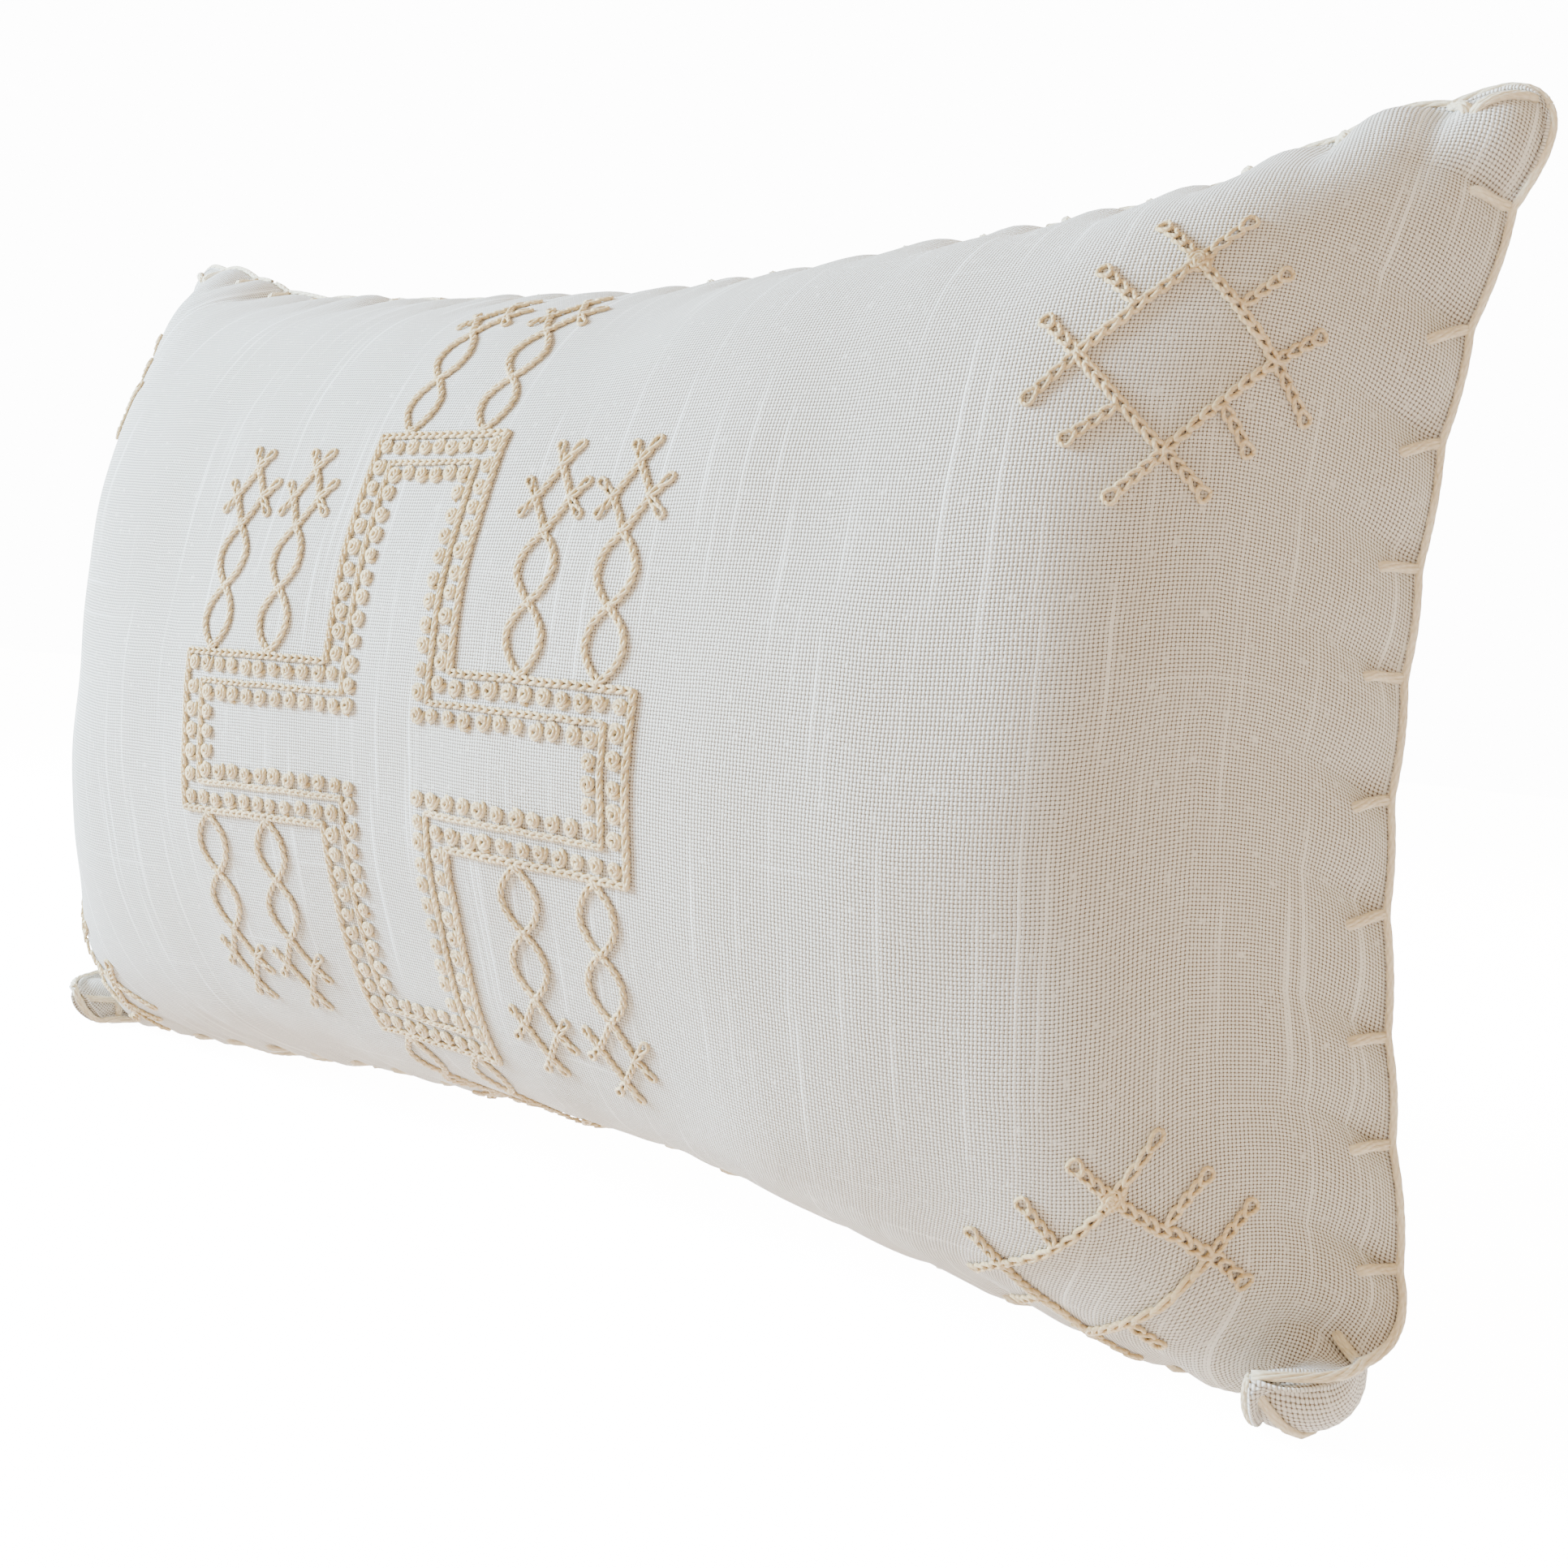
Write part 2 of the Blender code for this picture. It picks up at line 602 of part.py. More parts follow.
# ---------------------------------------------------------------- build
def build():
    clear_scene()
    cotton = material("cover_cotton", (0.80, 0.77, 0.70), 0.90)
    thread = material("embroidery_thread", (0.66, 0.52, 0.33), 0.70)
    yarn = material("edge_yarn", (0.80, 0.72, 0.53), 0.80)
    casing = material("insert_casing", (0.88, 0.88, 0.86), 0.85)
    fibre = material("polyester_fibre", (0.92, 0.92, 0.92), 0.95)
    tape = material("zipper_tape", (0.82, 0.79, 0.71), 0.85)
    coil = material("zipper_coil", (0.84, 0.81, 0.73), 0.45)
    metal = material("zipper_metal", (0.72, 0.71, 0.69), 0.35, 1.0)
    satin = material("label_satin", (0.90, 0.90, 0.88), 0.50)

    front_panel(cotton)
    back_panel("back_panel_upper", 1, cotton)
    back_panel("back_panel_lower", -1, cotton)
    insert_casing("insert_casing_front", FRONT, casing)
    insert_casing("insert_casing_back", BACK, casing)
    fibre_fill(fibre)
    care_label(satin)
    for name, up in (("upper", 1), ("lower", -1)):
        zip_tape(f"zipper_tape_{name}", up, tape)
        zip_coil(f"zipper_coil_{name}", up, coil)
    zip_stop("zipper_stop_closed", -1, metal)
    zip_stop("zipper_stop_open", 1, metal)
    zip_slider(metal)
    zipper_pull_tab(metal)
    edge_yarns(yarn)
    cloth = ClothMap()
    cross_bands(cloth, thread)
    oval_chains(cloth, thread)
    corner_diamonds(cloth, thread)


build()
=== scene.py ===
"""Looks of the embroidered lumbar throw pillow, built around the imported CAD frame.

The cover is cloth cut flat to FLAT_WIDTH x FLAT_HEIGHT. Every stitch is placed by (u, v):
metres on that flat cloth, from its middle. Units are metres, in the CAD's frame.
"""
import math

import bmesh
import bpy
import numpy as np
from mathutils import Euler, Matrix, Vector


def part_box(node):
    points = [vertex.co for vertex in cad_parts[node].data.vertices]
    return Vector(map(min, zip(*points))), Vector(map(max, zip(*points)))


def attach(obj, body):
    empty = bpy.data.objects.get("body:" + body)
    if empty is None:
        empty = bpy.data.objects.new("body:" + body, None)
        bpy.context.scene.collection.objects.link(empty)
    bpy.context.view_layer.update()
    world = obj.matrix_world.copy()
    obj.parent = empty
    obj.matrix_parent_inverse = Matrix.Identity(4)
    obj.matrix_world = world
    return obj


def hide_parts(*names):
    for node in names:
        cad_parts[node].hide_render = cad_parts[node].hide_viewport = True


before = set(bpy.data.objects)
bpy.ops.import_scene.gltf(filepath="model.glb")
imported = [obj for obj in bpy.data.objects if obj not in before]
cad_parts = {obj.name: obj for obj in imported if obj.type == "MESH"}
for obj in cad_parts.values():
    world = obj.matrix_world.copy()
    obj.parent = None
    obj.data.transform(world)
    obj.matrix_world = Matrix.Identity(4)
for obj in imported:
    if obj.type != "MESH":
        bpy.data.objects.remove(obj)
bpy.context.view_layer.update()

FRONT = -1
BACK = 1

# ------------------------------------------------ sizes from the frame
PANEL_LOW, PANEL_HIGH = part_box("front_panel")
TAPE_LOW, TAPE_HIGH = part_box("zipper_tape_upper")
PUFF_ROOM = Vector((0.001, 0.002, 0.004))   # the CAD's skin to the smooth shape below the puffs
HALF_WIDTH = PANEL_HIGH.x - PUFF_ROOM.x
TOTAL_HEIGHT = PANEL_HIGH.z - PUFF_ROOM.z
HALF_THICKNESS = -PANEL_LOW.y - PUFF_ROOM.y
MID_HEIGHT = (TAPE_LOW.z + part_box("zipper_tape_lower")[1].z) / 2
ZIP_HALF_LENGTH = TAPE_HIGH.x
TAPE_DEPTH = 0.0015                      # from the back panel's skin in to the tape
ZIP_SKIN = TAPE_HIGH.y + TAPE_DEPTH

# ------------------------------------------------ the cover's shape
FLAT_WIDTH = 0.508                       # a 12 x 20 in cover
FLAT_HEIGHT = 0.305
CLOTH_THICK = 0.0007
CELL = 0.0022                            # of the cover's grid

SIDE_PULL = 0.022                        # how far a short side draws in at its middle
SIDE_FLARE = (3.4, 1.5)                  # powers of its flare towards the upper and lower ears
TOP_PULL = 0.019                         # the same on the upper edge
BASE_PULL = 0.025                        # and on the lower edge
EDGE_FLARE = 1.53
BASE_SQUASH = 0.012                      # how much of the lower edge is pressed flat
CROWN_ALONG = {FRONT: (7.4, 0.60),       # power pairs of the fullness along X
               BACK: (5.0, 0.80)}
CROWN_UP = (1.92, 0.445)                 # power pair of the fullness along Z
SIDE_PINCH = 0.016                       # reach of the thinning beside a short seam
EDGE_PINCH = (0.005, 0.016)              # and beside a long one: mid seam, ear
SEAM_GAP = 0.0004                        # half of the gap between the panels at a seam

EAR_FROM = (0.925, 0.86)                 # shares where the rounding of the ears begins
EAR_ROUND = 0.40                         # 0 keeps the corners square, 0.5 makes them round
EAR_LIFT = 0.0092                        # how much higher the upper ears stand than the seam's curve
EAR_RISE = (0.64, 0.26)                  # share where that lift begins, and the share it takes
EAR_ALONG = (0.80, 0.20)                 # share along X where an upper ear begins, and its width
EAR_UP = (0.45, 0.55)                    # the same along Z
EAR_LEAN = math.radians(-4)              # how far the upper ears lean forward
EAR_FOLD = math.radians(80)              # how far the lower ears fold forward
FOLD_LENGTH = 0.042                      # from a lower ear's tip to the line of its fold

BAND_HALF = 0.016                        # half height of the band that the zip holds straight
BAND_FADE = 0.030
BAND_END = (0.005, 0.035)                # how far it runs past the zip, and fades out after that
HEM_HALF = 0.0050                        # half of the slot between the two back panels

TOP_STITCHES = 22                        # stitches along a long edge
SIDE_STITCHES = 12
STITCH_DEPTH = 0.0110                    # from the seam to the hole of a stitch
STITCH_UNEVEN = 0.0013                   # how far a stitch may lie from its even place
# Slants run along the seam, from a leg's outer end to its hole.
STITCH_SLANT = {"top": 0.0052, "bottom": 0.0052, "left": 0.0066, "right": 0.0066}
CORNER_SLANT = {"top": 0.0052, "bottom": 0.0052, "left": -0.0020, "right": -0.0020}
PUFF_HEIGHT = 0.0040
PUFF_REACH = 0.0070                      # from the seam to a puff's highest line
EAR_PUFF = 0.05                          # share by which the puffs grow towards the ears
SCALLOP = (0.0008, 0.0020)               # depth of the seam's dip at a stitch: mid seam, ear
SCALLOP_REACH = 0.009
PUFF_SEEDS = {"top": 11, "bottom": 12, "right": 13, "left": 14}
LONG_WAVE = (0.0009, 0.110)              # height and length of the cloth's wide swells
SHORT_WAVE = (0.00035, 0.045)            # and of its small ones
WAVE_FADE = 0.02                         # distance over which they fade out at a seam
ZIP_CALM = 0.008                         # half height of the part beside the zip without swells

CASING_INSET = 0.0080                    # from the cover in to the inner pillow
FIBRE_INSET = 0.0115
FIBRE_LUMPS = 0.0012

# ------------------------------------------------ embroidery
THREAD = 0.00050                         # radius of the embroidery thread
CROSS_HALF_LENGTH = 0.0845
CROSS_HALF_HEIGHT = 0.0822
LEVEL_ARM_HALF = 0.0213
UPRIGHT_ARM_HALF = 0.0248
EMBROIDERY_SHIFT = (-0.008, -0.016)      # of the whole pattern, from the cloth's middle
OUTER_KNOTS_IN = 0.0034
INNER_CHAIN_IN = 0.0077
CROSS_CHAINS = {                         # distance in, pitch, width, thread
    "cross_outer_chain": (0.0, 0.00275, 0.00165, THREAD),
    "cross_inner_chain": (INNER_CHAIN_IN, 0.00250, 0.00130, THREAD * 0.88),
}
INNER_KNOTS_IN = 0.0110
KNOT_PITCH = 0.0057
KNOT_RADIUS = 0.00215
OVAL_LENGTH = 0.0168
OVAL_HALF = 0.0058
OVAL_PLACES = (0.0483, 0.0740)
OVAL_TIP = 0.0143
OVAL_FOOT = 0.0010                       # from the cross's line to the first oval
OVAL_CHAIN = (0.00250, 0.00145)          # pitch and width
SPUR_LINK = 0.0030                       # about the length of a link in a spur
SPUR_LENGTHS = (0.0068, 0.0060, 0.0068)  # of an oval chain: upward, downward, at its tip
SPUR_WIDTH = 0.0019
DIAMOND_X = 0.1995
DIAMOND_Z = 0.0915
DIAMOND_HALF = 0.0200
DIAMOND_CHAIN = (0.00310, 0.00215)       # pitch and width
DIAMOND_SPURS = (0.0130, 0.0115)         # at a corner, at the middle of a side
DIAMOND_SPUR_WIDTH = 0.0026

YARN = 0.00045                           # radius of one strand of the blanket stitch
YARN_OUT = 0.0004                        # middle of the seam's yarn, out from the seam
SEAM_BUNDLE = (5, 0.00070)               # strands, and how far they lie from its middle
SEAM_TWIST = 0.022                       # length of one turn
LEG_BUNDLE = (6, 0.00072)
LEG_TWIST = 0.030

TOOTH_PITCH = 0.0015
TOOTH_THREAD = 0.0003                    # radius of the nylon
HEM_ROWS = (0.0035, 0.0075)              # rows of machine stitches, from the hem's edge
HEM_PITCH = 0.0030
HEM_STITCH = 0.0023                      # length of one
LABEL_DEPTH = 0.0020                     # from the cover in to the label
LABEL_THICK = 0.0003


def smooth(value):
    """0 below 0, 1 above 1 and an S-curve between."""
    value = np.clip(value, 0.0, 1.0)
    return value * value * (3 - 2 * value)


def crown(share, powers):
    """Fullness from 1 at the middle (share 0) to 0 at the seam (share 1)."""
    return np.clip(1 - np.abs(share) ** powers[0], 0, None) ** powers[1]


def pinch(away, reach):
    """Share of the fullness left by the stitches, at a distance from a seam."""
    return 1 - np.exp(-np.maximum(away, 0) / reach)


def zip_band(x, z):
    """1 on the flat band that the zip holds straight, 0 well away from it."""
    across = 1 - smooth((np.abs(z - MID_HEIGHT) - BAND_HALF) / BAND_FADE)
    along = 1 - smooth((np.abs(x) - ZIP_HALF_LENGTH - BAND_END[0]) / BAND_END[1])
    return across * along


def turn_about_x(points, angle, height):
    """Turn points about the line along X at that height; a positive angle swings -Z to -Y."""
    y, z = points[..., 1].copy(), points[..., 2] - height
    points[..., 1] = y * np.cos(angle) + z * np.sin(angle)
    points[..., 2] = height - y * np.sin(angle) + z * np.cos(angle)
    return points


def fold_ears(points):
    """Bend the lower ears forward about a line across each corner."""
    x, y, z = points[..., 0].copy(), points[..., 1].copy(), points[..., 2].copy()
    past = FOLD_LENGTH - (HALF_WIDTH - np.abs(x) + z + BASE_SQUASH) / math.sqrt(2)
    angle = EAR_FOLD * smooth(past / FOLD_LENGTH)
    moved = np.where(past > 0, past * np.cos(angle) + y * np.sin(angle) - past, 0)
    points[..., 0] = x + np.sign(x) * moved / math.sqrt(2)
    points[..., 1] = np.where(past > 0, y * np.cos(angle) - past * np.sin(angle), y)
    points[..., 2] = z - moved / math.sqrt(2)
    return points


def round_ears(s, t):
    """Shares with the corners of the square rounded off."""
    a, b = (np.clip((np.abs(share) - start) / (1 - start), 0, 1)
            for share, start in zip((s, t), EAR_FROM))
    drawn_s = EAR_FROM[0] + (1 - EAR_FROM[0]) * a * np.sqrt(1 - EAR_ROUND * b * b)
    drawn_t = EAR_FROM[1] + (1 - EAR_FROM[1]) * b * np.sqrt(1 - EAR_ROUND * a * a)
    return (np.where(a > 0, np.sign(s) * drawn_s, s), np.where(b > 0, np.sign(t) * drawn_t, t))


def skin(s, t, side, inset=0.0):
    """Points at shares s, t (each -1 to 1, seam to seam) of the filled cover."""
    s, t = np.broadcast_arrays(np.asarray(s, float), np.asarray(t, float))
    depth = (HALF_THICKNESS - inset) * crown(s, CROWN_ALONG[side]) * crown(t, CROWN_UP)
    edge_pinch = EDGE_PINCH[0] + (EDGE_PINCH[1] - EDGE_PINCH[0]) * s ** 4
    depth = depth * pinch((1 - np.abs(s)) * HALF_WIDTH, SIDE_PINCH)
    depth = depth * pinch((1 - np.abs(t)) * MID_HEIGHT, edge_pinch)
    place_s, place_t = round_ears(s, t)
    flare = np.abs(place_t) ** np.where(t > 0, *SIDE_FLARE)
    x = place_s * (HALF_WIDTH - inset - SIDE_PULL * (1 - flare))
    slack = 1 - np.abs(place_s) ** EDGE_FLARE
    reach_up = TOTAL_HEIGHT - MID_HEIGHT - TOP_PULL * slack
    reach_down = MID_HEIGHT + BASE_SQUASH - BASE_PULL * slack
    z = MID_HEIGHT + place_t * (np.where(t > 0, reach_up, reach_down) - inset)
    if side == BACK:
        depth = depth + zip_band(x, z) * (ZIP_SKIN - inset - depth)
    points = np.stack([x, side * (depth + SEAM_GAP), z], -1)
    high = smooth((t - EAR_UP[0]) / EAR_UP[1])
    upper = smooth((np.abs(s) - EAR_ALONG[0]) / EAR_ALONG[1]) * high
    points = turn_about_x(points, -EAR_LEAN * upper, (MID_HEIGHT + TOTAL_HEIGHT) / 2)
    risen = smooth((np.abs(s) - EAR_RISE[0]) / EAR_RISE[1]) * high
    points[..., 2] += EAR_LIFT * risen
    points = fold_ears(points)
    points[..., 2] = np.maximum(points[..., 2], inset)
    return points


def flat_tables(shares):
    """Flat places (u, v) of a grid of shares: each row and column is as long as its cloth."""
    s, t = np.meshgrid(shares, shares, indexing="ij")
    points = skin(s, t, FRONT)
    tables = []
    for axis, flat in ((0, FLAT_WIDTH), (1, FLAT_HEIGHT)):
        steps = np.linalg.norm(np.diff(points, axis=axis), axis=-1)
        total = np.insert(np.cumsum(steps, axis=axis), 0, 0.0, axis=axis)
        whole = total[-1:] if axis == 0 else total[:, -1:]
        tables.append((total / whole - 0.5) * flat)
    return tables


def blend_rows(table, place):
    """The row of a table at a place between its rows."""
    row = min(int(place), len(table) - 2)
    part = place - row
    return table[row] * (1 - part) + table[row + 1] * part


def shares_of_place(u, v, shares, table_u, table_v, rounds=5):
    """Shares (s, t) of one flat place, found by turns along its column and its row."""
    s, t = 2 * u / FLAT_WIDTH, 2 * v / FLAT_HEIGHT
    steps = np.arange(len(shares))
    for _ in range(rounds):
        t = np.interp(v, blend_rows(table_v, np.interp(s, shares, steps)), shares)
        s = np.interp(u, blend_rows(table_u.T, np.interp(t, shares, steps)), shares)
    return s, t


def bunched(count):
    """Shares from -1 to 1, closer together towards the seams."""
    return np.sin(np.linspace(-math.pi / 2, math.pi / 2, count))


TABLE_SHARES = bunched(61)
TABLE_U, TABLE_V = flat_tables(TABLE_SHARES)
PLACES_U, PLACES_V = TABLE_SHARES * FLAT_WIDTH / 2, TABLE_SHARES * FLAT_HEIGHT / 2
SHARES_AT = np.array([[shares_of_place(u, v, TABLE_SHARES, TABLE_U, TABLE_V) for v in PLACES_V]
                      for u in PLACES_U])


def sample(field, us, vs, u, v):
    """A grid's field at (u, v), straight between its points at us and vs."""
    i = np.clip(np.interp(u, us, np.arange(len(us))), 0, len(us) - 1.0001)
    j = np.clip(np.interp(v, vs, np.arange(len(vs))), 0, len(vs) - 1.0001)
    i0, j0 = i.astype(int), j.astype(int)
    fi, fj = (i - i0)[..., None], (j - j0)[..., None]
    low = field[i0, j0] * (1 - fi) + field[i0 + 1, j0] * fi
    high = field[i0, j0 + 1] * (1 - fi) + field[i0 + 1, j0 + 1] * fi
    return low * (1 - fj) + high * fj


def shares_at(u, v):
    u, v = np.broadcast_arrays(np.asarray(u, float), np.asarray(v, float))
    found = sample(SHARES_AT, PLACES_U, PLACES_V, u, v)
    return found[..., 0], found[..., 1]


# ------------------------------------------------ puckers at the stitches
def stitch_places(count, flat, seed):
    """Places of the stitches along a seam, a little uneven, with one at each corner."""
    rng = np.random.default_rng(seed)
    places = np.linspace(-flat / 2, flat / 2, count + 1)
    places[1:-1] += rng.uniform(-STITCH_UNEVEN, STITCH_UNEVEN, count - 1)
    return places


STITCHES = {
    "top": stitch_places(TOP_STITCHES, FLAT_WIDTH, 1),
    "bottom": stitch_places(TOP_STITCHES, FLAT_WIDTH, 2),
    "left": stitch_places(SIDE_STITCHES, FLAT_HEIGHT, 3),
    "right": stitch_places(SIDE_STITCHES, FLAT_HEIGHT, 4),
}


def between_stitches(along, stitches):
    """0 at a stitch and 1 midway to the next, with the cell's number."""
    cell = np.clip(np.searchsorted(stitches, along) - 1, 0, len(stitches) - 2)
    share = (along - stitches[cell]) / (stitches[cell + 1] - stitches[cell])
    return np.abs(np.sin(math.pi * np.clip(share, 0, 1))) ** 0.8, cell


def pucker(along, away, stitches, seed):
    """Height of the puffs between the stitches of one seam."""
    rng = np.random.default_rng(seed)
    heights = PUFF_HEIGHT * rng.uniform(0.65, 1.25, len(stitches))
    puff, cell = between_stitches(along, stitches)
    growth = 1 + EAR_PUFF * np.abs(along / stitches[-1]) ** 6
    reach = away / PUFF_REACH
    return heights[cell] * growth * (puff - 0.5) * reach * np.exp(1 - reach)


def beside_seams(u, v):
    """For each seam: the place along it, the distance from it, its axis and the way inwards."""
    return (("top", u, FLAT_HEIGHT / 2 - v, 2, -1), ("bottom", u, FLAT_HEIGHT / 2 + v, 2, 1),
            ("right", v, FLAT_WIDTH / 2 - u, 0, -1), ("left", v, FLAT_WIDTH / 2 + u, 0, 1))


def scallop(u, v):
    """Moves the seams and the cloth beside them inwards at the stitches."""
    moves = np.zeros(np.shape(u) + (3,))
    for seam, along, away, axis, inwards in beside_seams(u, v):
        puff, _ = between_stitches(along, STITCHES[seam])
        ear = np.abs(along / STITCHES[seam][-1]) ** 3
        dip = SCALLOP[0] + (SCALLOP[1] - SCALLOP[0]) * ear
        moves[..., axis] += inwards * dip * (1 - puff) * np.exp(-away / SCALLOP_REACH)
    return moves


def waves(u, v, seed, size, count=7):
    """A smooth uneven field of about -1 to 1, from a few long waves."""
    rng = np.random.default_rng(seed)
    total = np.zeros(np.shape(u))
    for _ in range(count):
        angle, phase = rng.uniform(0, 2 * math.pi, 2)
        length = size * rng.uniform(0.7, 1.5)
        total += np.sin(2 * math.pi * (u * math.cos(angle) + v * math.sin(angle)) / length + phase)
    return total / math.sqrt(count)


def relief(u, v, side):
    """Height of the cloth above its smooth shape."""
    height = np.zeros(np.shape(u))
    for seam, along, away, _, _ in beside_seams(u, v):
        height += pucker(along, away, STITCHES[seam], PUFF_SEEDS[seam])
    edge = np.minimum(FLAT_HEIGHT / 2 - np.abs(v), FLAT_WIDTH / 2 - np.abs(u))
    free = smooth(edge / WAVE_FADE)
    if side == BACK:
        free = free * smooth((np.abs(v) - ZIP_CALM) / WAVE_FADE)
    height += LONG_WAVE[0] * free * waves(u, v, 21 + side, LONG_WAVE[1])
    height += SHORT_WAVE[0] * free * waves(u, v, 31 + side, SHORT_WAVE[1])
    return height


def unit(vectors):
    return vectors / np.maximum(np.linalg.norm(vectors, axis=-1, keepdims=True), 1e-12)


def grid_normals(points, side):
    """Normals out of the cover at a grid of its points."""
    return unit(np.cross(np.gradient(points, axis=0), np.gradient(points, axis=1)) * -side)


class Cloth:
    """One panel of the cover: a fine grid of points over the flat cloth."""

    def __init__(self, us, vs, side):
        self.us, self.vs, self.side = us, vs, side
        u, v = np.meshgrid(us, vs, indexing="ij")
        base = skin(*shares_at(u, v), side) + scallop(u, v)
        self.points = base + grid_normals(base, side) * relief(u, v, side)[..., None]
        self.points[..., 2] = np.maximum(self.points[..., 2], CLOTH_THICK)
        self.normals = grid_normals(self.points, side)

    def normal(self, u, v):
        return sample(self.normals, self.us, self.vs, u, v)

    def place(self, u, v, lift):
        """Points at lift above the cloth at (u, v)."""
        u, v, lift = np.broadcast_arrays(*(np.asarray(a, float) for a in (u, v, lift)))
        flat = sample(self.points, self.us, self.vs, u, v)
        return flat + self.normal(u, v) * lift[..., None]


# ------------------------------------------------ mesh helpers
def in_scene(name, data):
    """A new object in the scene's collection."""
    obj = bpy.data.objects.new(name, data)
    bpy.context.scene.collection.objects.link(obj)
    return obj


def new_object(name, mesh, mat, body="cushion"):
    """A piece of the visual model, which rides on a body of the CAD."""
    obj = in_scene(name, mesh)
    mesh.materials.append(mat)
    mesh.shade_smooth()
    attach(obj, body)
    return obj


def mesh_from(name, points, faces, uvs=None):
    """A mesh from arrays; uvs has one pair for each face corner."""
    mesh = bpy.data.meshes.new(name)
    mesh.from_pydata(points.reshape(-1, 3).tolist(), [], faces.tolist())
    if uvs is not None:
        layer = mesh.uv_layers.new(name="flat")
        layer.data.foreach_set("uv", uvs.astype(np.float32).ravel())
    mesh.update()
    return mesh


def sheet_mesh(name, points, u, v, flip):
    """A grid of points as a mesh whose UVs are metres on the flat cloth."""
    rows, columns = points.shape[:2]
    index = np.arange(rows * columns).reshape(rows, columns)
    faces = np.stack([index[:-1, :-1], index[1:, :-1], index[1:, 1:], index[:-1, 1:]], -1)
    faces = faces.reshape(-1, 4)
    if flip:
        faces = faces[:, ::-1]
    flat = np.stack([u, v], -1).reshape(-1, 2)
    return mesh_from(name, points, faces, flat[faces])


def thicken(obj, thickness):
    mod = obj.modifiers.new("thickness", "SOLIDIFY")
    mod.thickness = thickness
    mod.offset = -1
    return obj


class Threads:
    """Collects round strands and turns them into one mesh."""

    def __init__(self, sides=6):
        self.sides, self.count = sides, 0
        self.points, self.faces, self.uvs, self.caps = [], [], [], []

    def add(self, path, ups, radius, closed=False, start=0.0):
        """One strand along path; ups points away from the cloth at each point."""
        path = path.copy()
        path[:, 2] = np.maximum(path[:, 2], np.max(radius))
        if closed:
            ahead = np.roll(path, -1, 0) - np.roll(path, 1, 0)
        else:
            ahead = np.gradient(path, axis=0)
        across = unit(np.cross(ahead, ups))
        up = unit(np.cross(across, ahead))
        angle = np.arange(self.sides) * 2 * math.pi / self.sides
        radii = np.broadcast_to(radius, len(path))[:, None, None]
        rings = path[:, None] + radii * (np.cos(angle)[None, :, None] * across[:, None]
                                         + np.sin(angle)[None, :, None] * up[:, None])
        n, k = len(path), self.sides
        index = self.count + np.arange(n * k).reshape(n, k)
        steps = np.linalg.norm(np.diff(path, axis=0, append=path[:1]), axis=1)
        length = start + np.concatenate([[0], np.cumsum(steps)])
        last = n if closed else n - 1
        a = np.arange(last)
        b = (a + 1) % n
        for side in range(k):
            after = (side + 1) % k
            self.faces.append(np.stack([index[a, side], index[a, after],
                                        index[b, after], index[b, side]], -1))
            low, high = side / k, (side + 1) / k
            corners = [(length[a], low), (length[a], high),
                       (length[a + 1], high), (length[a + 1], low)]
            self.uvs.append(np.stack([np.stack(np.broadcast_arrays(*pair), -1)
                                      for pair in corners], 1))
        if not closed:
            self.caps += [index[0][::-1].tolist(), index[-1].tolist()]
        self.points.append(rings.reshape(-1, 3))
        self.count += n * k

    def build(self, name, mat, slot, body="cushion"):
        faces = np.concatenate(self.faces)
        uvs = np.concatenate(self.uvs).reshape(-1, 2)
        cap_uvs = np.zeros((sum(len(c) for c in self.caps), 2))
        mesh = bpy.data.meshes.new(name)
        mesh.from_pydata(np.concatenate(self.points).tolist(), [], faces.tolist() + self.caps)
        layer = mesh.uv_layers.new(name="strand")
        layer.data.foreach_set("uv", np.concatenate([uvs, cap_uvs]).astype(np.float32).ravel())
        mesh.update()
        return new_object(name, mesh, mat, body)


# ------------------------------------------------ materials
GRAIN_RATES = (300.0, 9000.0, 9000.0)    # of the nickel's brushing, along X, Y and Z


